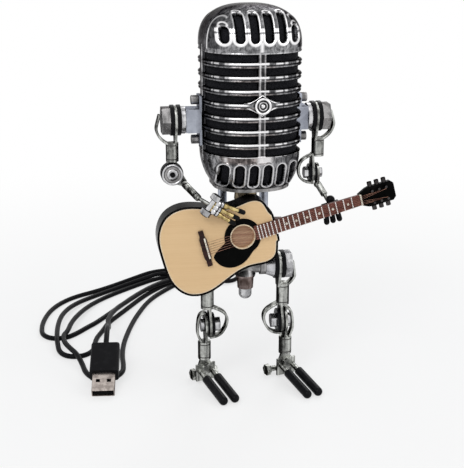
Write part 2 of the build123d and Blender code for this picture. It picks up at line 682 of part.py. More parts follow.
def make_left_arm():
    """Left arm: the elbow bolt lies along X, the hand lies behind the guitar's neck."""
    stack = shoulder_stack()
    bore = ELBOW_BOLT_DIA + 2 * RUN_CLEAR
    lug_x = L_ELBOW_LUG_X

    def at(x):
        return (x, 0, L_ELBOW_Z)

    drop = ARM_BARREL_FOOT - L_ELBOW_Z
    eye_r, washer_r = L_ELBOW_EYE_DIA / 2, L_ELBOW_WASHER_DIA / 2
    tab = eye_r + STRAP_THICK
    arm_eye = eye(at(lug_x), X, Z, L_ELBOW_EYE_DIA, bore, LUG_THICK, drop + 1.5, ARM_BARREL_DIA * 0.6, tab)
    washer_x = lug_x - ELBOW_WASHER_LEN
    nut_x = washer_x - ELBOW_NUT_LEN
    floor_z = L_ELBOW_Z - eye_r - STRAP_THICK / 2 - 0.05
    loop = ((lug_x + 0.9, 0, ARM_BARREL_FOOT + 0.9), (nut_x - 0.6, 0, ARM_BARREL_FOOT - 0.9),
            (nut_x - 3.2, 0, L_ELBOW_Z + 3.0), (nut_x - 2.2, 0, floor_z + 2.6),
            (washer_x - 0.6, 0, floor_z), (lug_x + LUG_THICK * 0.6, 0, floor_z))
    keep("left_upper_arm", upper_arm(SIDES["left"], arm_eye + strap(loop, 1.3, STRAP_WIDTH * 0.7)))

    mid_x = lug_x + LUG_THICK
    fore_x = mid_x + ELBOW_WASHER_LEN
    head_x = fore_x + LUG_THICK
    shank = rod(at(nut_x), at(head_x + 0.5), ELBOW_BOLT_DIA)
    head = rod(at(head_x), at(head_x + ELBOW_NUT_LEN * 0.8), ELBOW_NUT)
    nut = prism(at(nut_x), at(washer_x), ELBOW_NUT)
    keep("left_elbow_bolt", joined(shank, head, nut))

    shoulder_bore = SHOULDER_BOLT_DIA + 2 * RUN_CLEAR
    keep("left_arm_washers",
         ring((stack["washer"], 0, SHOULDER_Z), (stack["lug"], 0, SHOULDER_Z),
              SHOULDER_WASHER_DIA, shoulder_bore),
         ring((stack["outer"], 0, SHOULDER_Z), (stack["hex"], 0, SHOULDER_Z),
              SHOULDER_WASHER_DIA, shoulder_bore),
         ring(at(washer_x), at(lug_x), 2 * washer_r, bore),
         ring(at(mid_x), at(fore_x), 2 * washer_r, bore))

    start, end = Vector(*L_FOREARM_FROM), Vector(*L_FOREARM_TO)
    palm = Vector(*L_PALM)
    reach = Vector(0, start.Y, start.Z - L_ELBOW_Z)
    forearm_eye = eye(at(fore_x), X, reach.normalized(), L_ELBOW_EYE_DIA, bore, LUG_THICK,
                      reach.length + 0.4, FOREARM_DIA)
    wrist = palm + Vector(0, L_PALM_THICK / 2, L_PALM_HEIGHT * 0.1)
    forearm = joined(forearm_eye, capsule((fore_x + LUG_THICK / 2, start.Y, start.Z), start, FOREARM_DIA),
                     rod(start, end, FOREARM_DIA), rod(end, wrist, WRIST_ROD_DIA))

    tilt = Rot(0, -GUITAR_TILT, 0)
    plate = Pos(*L_PALM) * tilt * Box(L_PALM_LENGTH, L_PALM_THICK, L_PALM_HEIGHT)
    keep("left_forearm", forearm - plate)
    keep("left_palm", plate)

    fingers = []
    for n in (-1, 0, 1):
        across = n * (L_PALM_LENGTH - L_FINGER_DIA) / 2
        knuckle = Pos(*L_PALM) * tilt * Pos(across, 0, -L_PALM_HEIGHT / 2)
        root = Vector(*knuckle.position)
        tip = root + Vector(0.4 * n, -L_FINGER_REACH, -L_FINGER_DROP + L_FINGER_DIA / 2)
        fingers.append(capsule(root - Vector(0, 0, L_FINGER_DIA / 2), tip, L_FINGER_DIA) - plate)
    ball = palm + Vector(-1.0, -2.4, L_PALM_HEIGHT / 2 + L_THUMB_DIA / 2 - 0.4)
    thumb = Pos(*ball) * Sphere(L_THUMB_DIA / 2) - plate
    keep("left_fingers", *fingers, thumb)


# ---------------------------------------------------------------- guitar
GUITAR = Plane(origin=(GUITAR_HOLE_X, GUITAR_FRONT_Y, GUITAR_HOLE_Z),
               x_dir=(cos(radians(GUITAR_TILT)), 0, sin(radians(GUITAR_TILT))), z_dir=(0, -1, 0))


def guitar_outline(inset):
    """Body outline in the guitar's plane, from the tail to the neck, mirrored across the neck."""
    tail, top = GUITAR_TAIL_U + inset, GUITAR_SHOULDER_U - inset
    low, waist, up = LOWER_BOUT_HALF - inset, WAIST_HALF - inset, UPPER_BOUT_HALF - inset
    length = GUITAR_SHOULDER_U - GUITAR_TAIL_U

    def along(share):
        return GUITAR_TAIL_U + share * length + inset * (0.5 - share)

    half = [(tail, 0), (along(0.04), low * 0.66), (along(0.12), low * 0.9), (along(0.28), low),
            (along(0.45), low * 0.88), (along(0.7), waist), (along(0.86), up),
            (along(0.95), up * 0.8), (along(0.985), up * 0.45), (top, up * 0.2), (top, 0)]
    curve = Spline(*half[:-1], tangents=[(0, 1), (0, -1)])
    face = make_face(curve + Line(half[-2], half[-1]) + Line(half[-1], half[0]))
    return face + mirror(face, about=Plane.XZ)


def neck_width(u):
    """Width of the neck at a place along it."""
    share = (u - FRETBOARD_U) / (NUT_U - FRETBOARD_U)
    return NECK_WIDE + (NECK_NARROW - NECK_WIDE) * share


def neck_section(u, depth):
    """Rounded back of the neck at one place."""
    half = neck_width(u) / 2
    plane = Plane(origin=(u, 0, 0), x_dir=(0, 1, 0), z_dir=(1, 0, 0))
    arc = ThreePointArc((-half, 0), (0, -depth), (half, 0))
    return plane * make_face(arc + Line((half, 0), (-half, 0)))


def make_guitar():
    """The guitar's pieces and the bracket that carries it on the neck tube."""
    outline = guitar_outline(0)
    hole = Circle(HOLE_DIA / 2)
    top = Pos(0, 0, -GUITAR_TOP_THICK) * extrude(outline - hole, GUITAR_TOP_THICK)
    keep("guitar_top", GUITAR * top)

    body_depth = GUITAR_DEPTH - GUITAR_TOP_THICK
    body = Pos(0, 0, -GUITAR_DEPTH) * extrude(outline, body_depth)
    cavity = Pos(0, 0, GUITAR_WALL - GUITAR_DEPTH) * extrude(guitar_outline(GUITAR_WALL), body_depth)
    keep("guitar_body", GUITAR * (body - cavity))

    neck_from, neck_to = GUITAR_SHOULDER_U, NUT_U
    shaft = loft([neck_section(neck_from, NECK_DEPTH * 1.15), neck_section(neck_to, NECK_DEPTH)])
    heel_len = GUITAR_DEPTH * 0.42
    heel = Pos(neck_from, 0, -GUITAR_DEPTH * 0.82) * Box(
        heel_len, neck_width(neck_from) * 0.7, GUITAR_DEPTH * 0.76,
        align=(Align.MIN, Align.CENTER, Align.MIN))
    heel = chamfer(heel.edges().filter_by(Axis.Y).sort_by(Axis.X)[-2:].sort_by(Axis.Z)[0], heel_len * 0.8)
    half, wide, tip = neck_width(NUT_U) / 2, HEADSTOCK_WIDE / 2, NUT_U + HEADSTOCK_LEN
    stock = make_face(Polyline((NUT_U - 0.4, -half), (NUT_U + 0.2 * HEADSTOCK_LEN, -wide * 0.92),
                               (NUT_U + 0.3 * HEADSTOCK_LEN, -wide), (tip - 1.6, -wide), (tip, -wide + 1.6),
                               (tip, wide - 1.6), (tip - 1.6, wide), (NUT_U + 0.3 * HEADSTOCK_LEN, wide),
                               (NUT_U + 0.2 * HEADSTOCK_LEN, wide * 0.92), (NUT_U - 0.4, half), close=True))
    headstock = Pos(0, 0, -HEADSTOCK_THICK) * extrude(stock, HEADSTOCK_THICK)
    keep("guitar_neck", GUITAR * joined(shaft, heel, headstock))

    wide_end, narrow_end = neck_width(FRETBOARD_U) / 2, neck_width(NUT_U) / 2
    board = make_face(Polyline((FRETBOARD_U, -wide_end), (NUT_U, -narrow_end), (NUT_U, narrow_end),
                               (FRETBOARD_U, wide_end), close=True))
    keep("guitar_fretboard", GUITAR * extrude(board, FRETBOARD_THICK))

    long, short = BRIDGE_LEN / 2, BRIDGE_WIDE / 2
    bridge = make_face(Polyline((-short * 0.7, -long), (short * 0.7, -long), (short * 0.7, -long * 0.66),
                                (short, -long * 0.5), (short, long * 0.5), (short * 0.7, long * 0.66),
                                (short * 0.7, long), (-short * 0.7, long), (-short * 0.7, long * 0.66),
                                (-short, long * 0.5), (-short, -long * 0.5), (-short * 0.7, -long * 0.66),
                                close=True))
    keep("guitar_bridge", GUITAR * (Pos(BRIDGE_U, 0, 0) * extrude(bridge, BRIDGE_THICK)))

    saddle_u = BRIDGE_U + short * 0.45
    low = (Align.CENTER, Align.CENTER, Align.MIN)
    saddle_top = BRIDGE_THICK + STRING_RISE
    saddle = Pos(saddle_u, 0, BRIDGE_THICK) * Box(BONE_THICK, SADDLE_LEN, STRING_RISE, align=low)
    nut_top = FRETBOARD_THICK + STRING_RISE
    nut = Pos(NUT_U + BONE_THICK / 2, 0, 0) * Box(BONE_THICK, 2 * narrow_end, nut_top, align=low)
    keep("guitar_saddle_and_nut", GUITAR * saddle, GUITAR * nut)

    guard = Circle(PICKGUARD_RING / 2)
    ring_r = PICKGUARD_RING / 2
    guard += make_face(Spline(*[(u * ring_r, v * ring_r) for u, v in PICKGUARD_OUTLINE], periodic=True))
    guard -= Circle(HOLE_DIA / 2 + 0.8)
    guard -= Pos(FRETBOARD_U - RUN_CLEAR, 0) * Rectangle(
        NUT_U, neck_width(FRETBOARD_U) + 2 * RUN_CLEAR, align=(Align.MIN, Align.CENTER))
    keep("guitar_pickguard", GUITAR * extrude(guard, PICKGUARD_THICK))

    strings, posts = [], []
    spread_low, spread_high = SADDLE_LEN * 0.56, neck_width(NUT_U) * 0.76
    per_side = STRING_COUNT // 2
    for n in range(STRING_COUNT):
        share = n / (STRING_COUNT - 1) - 0.5
        side = -1 if n < per_side else 1
        rank = n if n < per_side else STRING_COUNT - 1 - n
        post_u = NUT_U + HEADSTOCK_LEN * (0.36 + 0.2 * rank)
        post_v = side * HEADSTOCK_WIDE * 0.3
        post = rod((post_u, post_v, 0), (post_u, post_v, nut_top + STRING_DIA), TUNER_POST_DIA)
        post += rod((post_u, side * HEADSTOCK_WIDE / 2, -HEADSTOCK_THICK / 2),
                    (post_u, side * (HEADSTOCK_WIDE / 2 + TUNER_KNOB_LEN), -HEADSTOCK_THICK / 2),
                    TUNER_KNOB_DIA)
        posts.append(GUITAR * post)
        lift = STRING_DIA / 2 + 0.02
        start = (saddle_u - 0.3, share * spread_low, saddle_top + lift)
        bend = (NUT_U + BONE_THICK / 2, share * spread_high, nut_top + lift)
        inner_v = post_v - side * (TUNER_POST_DIA / 2 + STRING_DIA / 2 + 0.02)
        end = (post_u, inner_v, nut_top + lift)
        path = FilletPolyline(start, bend, end, radius=2 * STRING_DIA)
        section = Plane(origin=path @ 0, z_dir=path % 0) * Circle(STRING_DIA / 2)
        strings.append(GUITAR * sweep(section, path=path))
    keep("guitar_strings", *strings)
    keep("guitar_tuners", *posts)

    back_y = GUITAR_FRONT_Y + GUITAR_DEPTH
    ring_z = GUITAR_HOLE_Z
    clamp = rod((0, 0, ring_z - 4), (0, 0, ring_z + 4), NECK_DIA + 4)
    arm = Pos(0, back_y, ring_z) * Box(8, -back_y - NECK_DIA / 2, 8,
                                      align=(Align.CENTER, Align.MIN, Align.CENTER))
    pad = Pos(0, back_y, ring_z) * Box(16, 1.2, 12, align=(Align.CENTER, Align.MIN, Align.CENTER))
    bracket = joined(clamp, arm, pad) - rod((0, 0, ring_z - 9), (0, 0, ring_z + 9), NECK_DIA)
    keep("guitar_bracket", bracket)


# ---------------------------------------------------------------- pelvis
def hip_stack():
    """Places along X of what is stacked on each hip bolt."""
    washer = TEE_HALF + CUP_LEN
    lug = washer + HIP_WASHER_LEN
    outer = lug + HIP_LUG_THICK
    return {"washer": washer, "lug": lug, "outer": outer, "hex": outer + HIP_WASHER_LEN}


def make_pelvis():
    """Tee, hip cups and bolts, push switch and the cord's gland."""
    stack = hip_stack()
    tee = rod_x(-TEE_HALF, TEE_HALF, HIP_Z, TEE_DIA)
    for side in SIDES.values():
        tee += rod_x(side * (TEE_HALF - TEE_FLANGE_LEN), side * TEE_HALF, HIP_Z, TEE_FLANGE_DIA)
    tee += rod((0, 0, BRANCH_FOOT), (0, 0, HIP_Z), BRANCH_DIA, TEE_DIA * 0.8)
    tee += rod((0, 0, HIP_Z), (0, 0, TEE_TOP), TEE_DIA)
    tee += rod((0, 0, TEE_TOP - 1.6), (0, 0, TORSO_PLATE_Z), TEE_DIA + 2.4)
    neck_room = TORSO_PLATE_Z + TORSO_PLATE_THICK + 6
    tee += rod((0, 0, TEE_TOP), (0, 0, neck_room), WAIST_STUD_DIA)
    tee += rod((0, 0, HIP_Z), (0, REAR_BOSS_END, HIP_Z), REAR_BOSS_DIA)
    switch_bore = SWITCH_DIA - 3.0
    tee -= rod((0, 0, BRANCH_FOOT - 1), (0, 0, HIP_Z), switch_bore)
    keep("pelvis_tee", tee)

    cups, bolts = [], []
    bore = HIP_BOLT_DIA + 2 * RUN_CLEAR
    for side in SIDES.values():
        cup = rod_x(side * TEE_HALF, side * (TEE_HALF + CUP_LEN), HIP_Z, TEE_FLANGE_DIA, end_dia=CUP_DIA)
        cups.append(cup - rod_x(side * TEE_HALF, side * stack["washer"], HIP_Z, bore))
        shank = rod_x(side * TEE_HALF, side * (stack["hex"] + 0.5), HIP_Z, HIP_BOLT_DIA)
        head = prism((side * stack["hex"], 0, HIP_Z), (side * (stack["hex"] + HIP_HEX_LEN), 0, HIP_Z),
                     HIP_HEX, HEX_SPIN)
        bolts.append(shank + head)
    keep("hip_cups", *cups)
    keep("hip_bolts", *bolts)

    gasket_foot = BRANCH_FOOT - GASKET_THICK
    housing_foot = gasket_foot - SWITCH_LEN
    housing = rod((0, 0, housing_foot), (0, 0, gasket_foot), SWITCH_DIA_FOOT, SWITCH_DIA)
    housing += rod((0, 0, gasket_foot), (0, 0, BRANCH_FOOT), BRANCH_DIA * 0.94)
    housing -= rod((0, 0, housing_foot - 1), (0, 0, gasket_foot - 1), BUTTON_DIA + 2 * RUN_CLEAR)
    keep("switch_housing", housing)

    button = rod((0, 0, BUTTON_FOOT), (0, 0, housing_foot + BUTTON_IN_BORE), BUTTON_DIA)
    button = fillet(button.faces().sort_by(Axis.Z)[0].edges(), BUTTON_DIA * 0.42)
    keep("switch_button", button)

    gland = rod((0, REAR_BOSS_END, HIP_Z), (0, REAR_BOSS_END + 2, HIP_Z), REAR_BOSS_DIA)
    gland += rod((0, REAR_BOSS_END + 2, HIP_Z), (0, GLAND_END, HIP_Z), REAR_BOSS_DIA * 0.86, GLAND_TIP_DIA)
    keep("cord_gland", gland)


# ---------------------------------------------------------------- legs
def make_leg(name, side):
    """One leg: thigh lug, knee bolt and washers, shin lug, foot frame and toes."""
    stack = hip_stack()
    hip_bore = HIP_BOLT_DIA + 2 * RUN_CLEAR
    knee_bore = KNEE_BOLT_DIA + 2 * RUN_CLEAR

    def knee(x):
        return (side * x, 0, KNEE_Z)

    def hip(x):
        return (side * x, 0, HIP_Z)

    def bent(points):
        return strap([(side * x, 0, z) for x, z in points], 1.6)

    half_strap = STRAP_THICK / 2
    eye_r = KNEE_EYE_DIA / 2
    tab = eye_r + half_strap
    low_z, high_z = KNEE_Z - eye_r - 0.1, KNEE_Z + eye_r + 0.1
    mid_x = KNEE_LUG_X + LUG_THICK
    shin_x = mid_x + KNEE_MID_WASHER_LEN
    head_x = shin_x + LUG_THICK
    washer_x = KNEE_LUG_X - KNEE_WASHER_LEN
    nut_x = washer_x - KNEE_NUT_LEN
    drop = KNEE_Z - THIGH_FOOT

    # thigh: hip eye, barrel, strap round the hip hex, knee eye, strap round the knee nut
    hip_eye = eye(hip(stack["lug"]), X * side, -Z, HIP_EYE_DIA, hip_bore, HIP_LUG_THICK,
                  HIP_Z - THIGH_TOP + 1.5, LEG_BARREL_DIA * 0.85)
    barrel = rod((side * THIGH_BARREL_X, 0, THIGH_FOOT), (side * THIGH_BARREL_X, 0, THIGH_TOP),
                 LEG_BARREL_DIA)
    clear = stack["hex"] + HIP_HEX_LEN + half_strap + SEAT_GAP
    hip_strap = bent(((THIGH_BARREL_X + 1.6, THIGH_TOP - 1.4), (clear + 1.4, THIGH_TOP + 2.6),
                      (clear + 0.9, HIP_Z - 4.2), (clear, HIP_Z + 1.8)))
    knee_eye = eye(knee(KNEE_LUG_X), X * side, Z, KNEE_EYE_DIA, knee_bore, LUG_THICK, 1.5 - drop,
                   LEG_BARREL_DIA * 0.8, tab)
    nut_strap = bent(((KNEE_LUG_X + 0.6, THIGH_FOOT + 1.2), (nut_x + 1.0, THIGH_FOOT - 0.4),
                      (nut_x - 4.2, KNEE_Z + 5.0), (nut_x - 3.4, KNEE_Z - 1.6),
                      (nut_x + 0.8, low_z), (KNEE_LUG_X + LUG_THICK * 0.6, low_z)))
    keep(name + "_thigh", joined(hip_eye, barrel, hip_strap, knee_eye, nut_strap))

    shank = rod(knee(nut_x), knee(head_x + 0.5), KNEE_BOLT_DIA)
    head = rod(knee(head_x), knee(head_x + KNEE_HEAD_LEN), KNEE_HEAD_DIA)
    nut = prism(knee(nut_x), knee(washer_x), KNEE_NUT)
    keep(name + "_knee_bolt", joined(shank, head, nut))

    keep(name + "_leg_washers",
         ring(hip(stack["washer"]), hip(stack["lug"]), HIP_WASHER_DIA, hip_bore),
         ring(hip(stack["outer"]), hip(stack["hex"]), HIP_WASHER_DIA, hip_bore),
         ring(knee(washer_x), knee(KNEE_LUG_X), KNEE_WASHER_DIA, knee_bore),
         ring(knee(mid_x), knee(shin_x), KNEE_WASHER_DIA, knee_bore))

    # shin: knee eye, strap round the bolt's head, barrel, eye at the ankle
    forward = Vector(sin(radians(FOOT_YAW)), -cos(radians(FOOT_YAW)), 0)
    across = Vector(cos(radians(FOOT_YAW)), sin(radians(FOOT_YAW)), 0)
    ankle = Vector(side * SHIN_BARREL_X, 0, ANKLE_Z)
    shin_eye = eye(knee(shin_x), X * side, -Z, KNEE_EYE_DIA, knee_bore, LUG_THICK,
                   KNEE_Z - SHIN_TOP + 1.5, LEG_BARREL_DIA * 0.8, tab)
    shin_barrel = rod((side * SHIN_BARREL_X, 0, SHIN_FOOT), (side * SHIN_BARREL_X, 0, SHIN_TOP),
                      LEG_BARREL_DIA)
    head_clear = head_x + KNEE_HEAD_LEN + half_strap + SEAT_GAP
    head_strap = bent(((SHIN_BARREL_X + 1.2, SHIN_TOP - 1.0), (head_clear + 0.5, SHIN_TOP + 3.0),
                       (head_clear + 0.9, KNEE_Z - 2.2), (head_clear + 0.2, high_z - 2.6),
                       (shin_x + LUG_THICK + 1.4, high_z), (shin_x + LUG_THICK * 0.4, high_z)))
    half = LUG_THICK / 2
    ankle_bore = ANKLE_BOLT_DIA + 2 * RUN_CLEAR
    ankle_eye = eye(ankle - forward * half, forward, Z, ANKLE_EYE_DIA, ankle_bore, LUG_THICK,
                    SHIN_FOOT - ANKLE_Z + 1.5, LEG_BARREL_DIA * 0.6)
    keep(name + "_shin", joined(shin_eye, shin_barrel, head_strap, ankle_eye))

    # foot: front plate on the ankle bolt, sole strip, heel bar with two nuts, two toes
    def foot(ahead, aside, z):
        return ankle + forward * ahead + across * aside + Vector(0, 0, z - ANKLE_Z)

    def block(ahead1, ahead2, aside1, aside2, z1, z2):
        size = (aside2 - aside1, ahead2 - ahead1, z2 - z1)
        middle = foot((ahead1 + ahead2) / 2, (aside1 + aside2) / 2, (z1 + z2) / 2)
        return Plane(origin=middle, x_dir=across, z_dir=Z) * Box(*size)

    plate_front = half + FOOT_PLATE_THICK
    plate = block(half, plate_front, -FOOT_HALF_W, FOOT_HALF_W, SOLE_Z, FOOT_PLATE_TOP)
    heel_z = HEEL_NUT / 2
    sole = block(-HEEL_BACK, plate_front, -FOOT_HALF_W * 0.55, FOOT_HALF_W * 0.55, SOLE_Z, SOLE_Z + SOLE_THICK)
    inner = -side
    bar = rod(foot(-HEEL_BACK, inner * HEEL_REACH, heel_z), foot(-HEEL_BACK, -inner * FOOT_HALF_W, heel_z),
              ANKLE_BOLT_DIA)
    nuts = [prism(foot(-HEEL_BACK, inner * (HEEL_REACH - HEEL_NUT_LEN), heel_z),
                  foot(-HEEL_BACK, inner * HEEL_REACH, heel_z), HEEL_NUT),
            prism(foot(-HEEL_BACK, -inner * (FOOT_HALF_W - HEEL_NUT_LEN), heel_z),
                  foot(-HEEL_BACK, -inner * FOOT_HALF_W, heel_z), HEEL_NUT)]
    bolt = rod(foot(-half - ELBOW_NUT_LEN, 0, ANKLE_Z), foot(plate_front + 0.5, 0, ANKLE_Z), ANKLE_BOLT_DIA)
    bolt_head = rod(foot(plate_front, 0, ANKLE_Z), foot(plate_front + 1.6, 0, ANKLE_Z), ELBOW_NUT)
    bolt_nut = prism(foot(-half - ELBOW_NUT_LEN, 0, ANKLE_Z), foot(-half, 0, ANKLE_Z), ELBOW_NUT)
    toe_z = TOE_DIA / 2 - TOE_FLAT
    shanks, caps = [], []
    for spread in (-TOE_SPREAD, TOE_SPREAD):
        root, tip = foot(plate_front, spread, TOE_ROOT_Z), foot(TOE_REACH, spread, toe_z)
        cap_share = (TOE_CAP_FROM - plate_front) / (TOE_REACH - plate_front)
        cap_root = root + (tip - root) * cap_share
        shanks.append(rod(root + (root - tip) * 0.02, cap_root, TOE_SHANK_DIA))
        cap = rod(cap_root, tip, TOE_DIA) + Pos(*tip) * Sphere(TOE_DIA / 2)
        caps.append(cap - Pos(*tip) * Pos(0, 0, -toe_z) * Box(
            4 * TOE_DIA, 4 * TOE_DIA, TOE_DIA, align=(Align.CENTER, Align.CENTER, Align.MAX)))
    keep(name + "_foot", joined(plate, sole, bar, bolt, bolt_head, bolt_nut, *nuts, *shanks))
    keep(name + "_toes", *caps)


# ---------------------------------------------------------------- cord and plug
def cord_tube(points):
    """Cord as straight runs joined by arcs, each arc as large as its runs allow."""
    spots = [Vector(*p) for p in points]
    radii = []
    for before, here, after in zip(spots, spots[1:], spots[2:]):
        turn = (here - before).get_angle(after - here)
        shorter = min((here - before).length, (after - here).length)
        radii.append(0.45 * shorter / tan(radians(turn) / 2))
    path = FilletPolyline(*spots, radius=radii)
    section = Plane(origin=path @ 0, z_dir=path % 0) * Circle(CORD_DIA / 2)
    tube = sweep(section, path=path)
    expected = pi * CORD_DIA ** 2 / 4 * path.length
    print("cord radii", [round(r, 1) for r in radii], "length", round(path.length, 1),
          "volume ratio", round(tube.volume / expected, 4))
    return tube


def plug_plane():
    """Plane at the plug's mouth, Z along the plug towards its cord."""
    turn, tilt = radians(PLUG_TURN), radians(PLUG_TILT)
    level = Vector(sin(turn), cos(turn), 0)
    along = level * cos(tilt) + Z * sin(tilt)
    origin = Vector(*PLUG_TIP, SHELL_THICK / 2 * cos(tilt))
    return Plane(origin=origin, x_dir=Vector(cos(turn), -sin(turn), 0), z_dir=along)


def make_cord():
    """Cord from the gland to the hank and on to the plug, the hank, its tie and the plug."""
    lead = cord_tube(CORD_LEAD)
    keep("cord_lead", lead)

    outline = make_face(Polyline(*HANK_OUTLINE, close=True))
    gap = make_face(Polyline(*HANK_GAP, close=True))
    outline = fillet(outline.vertices(), HANK_CORNER) - fillet(gap.vertices(), HANK_GAP_CORNER)
    hank = extrude(outline, HANK_HEIGHT)
    pile = make_face(Polyline(*PILE_OUTLINE, close=True))
    hank += extrude(pile, PILE_HEIGHT)
    (x1, y1), (x2, y2) = TONGUE_BOX
    tongue = fillet(Rectangle(x2 - x1, y2 - y1, align=Align.MIN).vertices(), HANK_CORNER)
    hank += Pos(x1, y1, 0) * extrude(tongue, CORD_DIA)
    keep("cord_hank", hank)

    plane = plug_plane()
    rear = plane.origin + plane.z_dir * (SHELL_LEN + OVERMOULD_LEN)
    first = rear + plane.z_dir * TAIL_STRAIGHT
    pile_y = PILE_OUTLINE[0][1]
    top_z = HANK_HEIGHT + CORD_DIA / 2 + SEAT_GAP
    crown, descent, landing, end = TAIL_DRIFT
    tail = cord_tube((rear, first, (first.X + crown, first.Y + TAIL_CROWN, first.Z - TAIL_SAG),
                      (first.X + descent, first.Y + TAIL_DESCENT, top_z + CORD_DIA / 2),
                      (first.X + landing, pile_y - TAIL_ON_HANK, top_z), (first.X + end, pile_y, top_z)))
    keep("cord_tail", tail)

    low = (Align.CENTER, Align.CENTER, Align.MIN)
    shell = Box(SHELL_WIDE, SHELL_THICK, SHELL_LEN, align=low)
    shell = fillet(shell.edges().filter_by(Axis.Z), 0.5)
    shell -= Box(SHELL_WIDE - 2 * SHELL_WALL, SHELL_THICK - 2 * SHELL_WALL, SHELL_LEN, align=low)
    window = Box(2.2, SHELL_THICK + 1, 2.2)
    for side in SIDES.values():
        shell -= Pos(side * SHELL_WIDE * 0.24, 0, SHELL_LEN * 0.56) * window
    keep("usb_plug_shell", plane * shell)
    tongue_thick = (SHELL_THICK - 2 * SHELL_WALL) / 2 - SEAT_GAP
    mould = Box(OVERMOULD_WIDE, OVERMOULD_THICK, OVERMOULD_LEN, align=low)
    mould = fillet(mould.edges().filter_by(Axis.Z), 1.6)
    mould = chamfer(mould.faces().sort_by(Axis.Z)[-1].edges(), 1.2)
    blade = Pos(0, tongue_thick / 2 + SEAT_GAP, -SHELL_LEN * 0.92) * Box(
        SHELL_WIDE - 4 * SHELL_WALL, tongue_thick - SEAT_GAP, SHELL_LEN, align=low)
    keep("usb_plug_body", plane * (Pos(0, 0, SHELL_LEN) * (mould + blade)))


# ---------------------------------------------------------------- build and write
make_head()
make_torso()
make_shoulders()
make_right_arm()
make_left_arm()
make_guitar()
make_pelvis()
for leg_name, leg_side in SIDES.items():
    make_leg(leg_name, leg_side)
make_cord()

CORD_NODES = ("cord_gland", "cord_lead", "cord_hank", "cord_tail", "usb_plug_body", "usb_plug_shell")
shift = Pos(AXIS_X, AXIS_Y, 0)
os.makedirs("parts", exist_ok=True)
for node, solids in NODES.items():
    placed = [shift * solid for solid in solids]
    shape = placed[0] if len(placed) == 1 else Compound(children=placed)
    export_step(shape, f"parts/{node}.step")
body = Compound(children=[shift * solid for node, solids in NODES.items() if node not in CORD_NODES
                          for solid in solids])
box = body.bounding_box()
print("nodes", len(NODES), "box centre without the cord", round(box.center().X, 3), round(box.center().Y, 3),
      "low", round(box.min.Z, 3), "size", [round(v, 2) for v in box.size])
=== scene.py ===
import json
import math

import bmesh
import bpy
from bpy.props import FloatProperty, FloatVectorProperty, IntProperty, PointerProperty
from mathutils import Matrix, Vector
from mathutils.geometry import intersect_point_line

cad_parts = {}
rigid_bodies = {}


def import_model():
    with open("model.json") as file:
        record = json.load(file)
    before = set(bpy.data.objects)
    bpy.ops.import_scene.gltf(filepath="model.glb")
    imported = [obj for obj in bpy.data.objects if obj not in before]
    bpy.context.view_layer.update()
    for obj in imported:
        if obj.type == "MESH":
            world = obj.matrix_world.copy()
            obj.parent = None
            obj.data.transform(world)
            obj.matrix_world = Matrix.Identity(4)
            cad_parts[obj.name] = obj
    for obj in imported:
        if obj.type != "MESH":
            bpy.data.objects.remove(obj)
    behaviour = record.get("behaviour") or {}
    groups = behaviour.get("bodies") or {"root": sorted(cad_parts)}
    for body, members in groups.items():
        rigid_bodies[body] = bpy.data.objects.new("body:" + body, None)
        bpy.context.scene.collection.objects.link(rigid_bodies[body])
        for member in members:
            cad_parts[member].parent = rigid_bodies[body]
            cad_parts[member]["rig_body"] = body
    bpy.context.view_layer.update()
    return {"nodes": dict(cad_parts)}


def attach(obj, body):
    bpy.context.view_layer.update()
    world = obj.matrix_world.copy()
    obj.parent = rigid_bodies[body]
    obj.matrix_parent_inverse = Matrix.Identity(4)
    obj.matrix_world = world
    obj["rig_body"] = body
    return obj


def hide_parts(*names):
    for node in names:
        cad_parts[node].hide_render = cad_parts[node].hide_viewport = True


bl_info = {
    "name": "Robot desk lamp",
    "version": (1, 0, 0),
    "blender": (4, 5, 0),
    "location": "View3D > Sidebar > Robot Lamp",
    "description": "Dresses the jointed robot desk lamp: head shell, guitar, fittings, cord and stage",
    "category": "Object",
}

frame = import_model()

MM = 0.001
AXIS = Vector((-12.52, 2.67, 0.0)) * MM           # the robot's upright axis in the part's frame
GUITAR_TILT = math.radians(15.0)


def spot(x, y, z):
    """A place in millimetres about the robot's own axis."""
    return AXIS + Vector((x, y, z)) * MM


# ------------------------------------------------------------------ the cord's route
CORD_RADIUS = 1.5


def laid(*places):
    """Places in metres about the robot's axis, from millimetres. One without a height lies on the floor."""
    return [Vector([value * MM for value in (*place, CORD_RADIUS)[:3]]) for place in places]


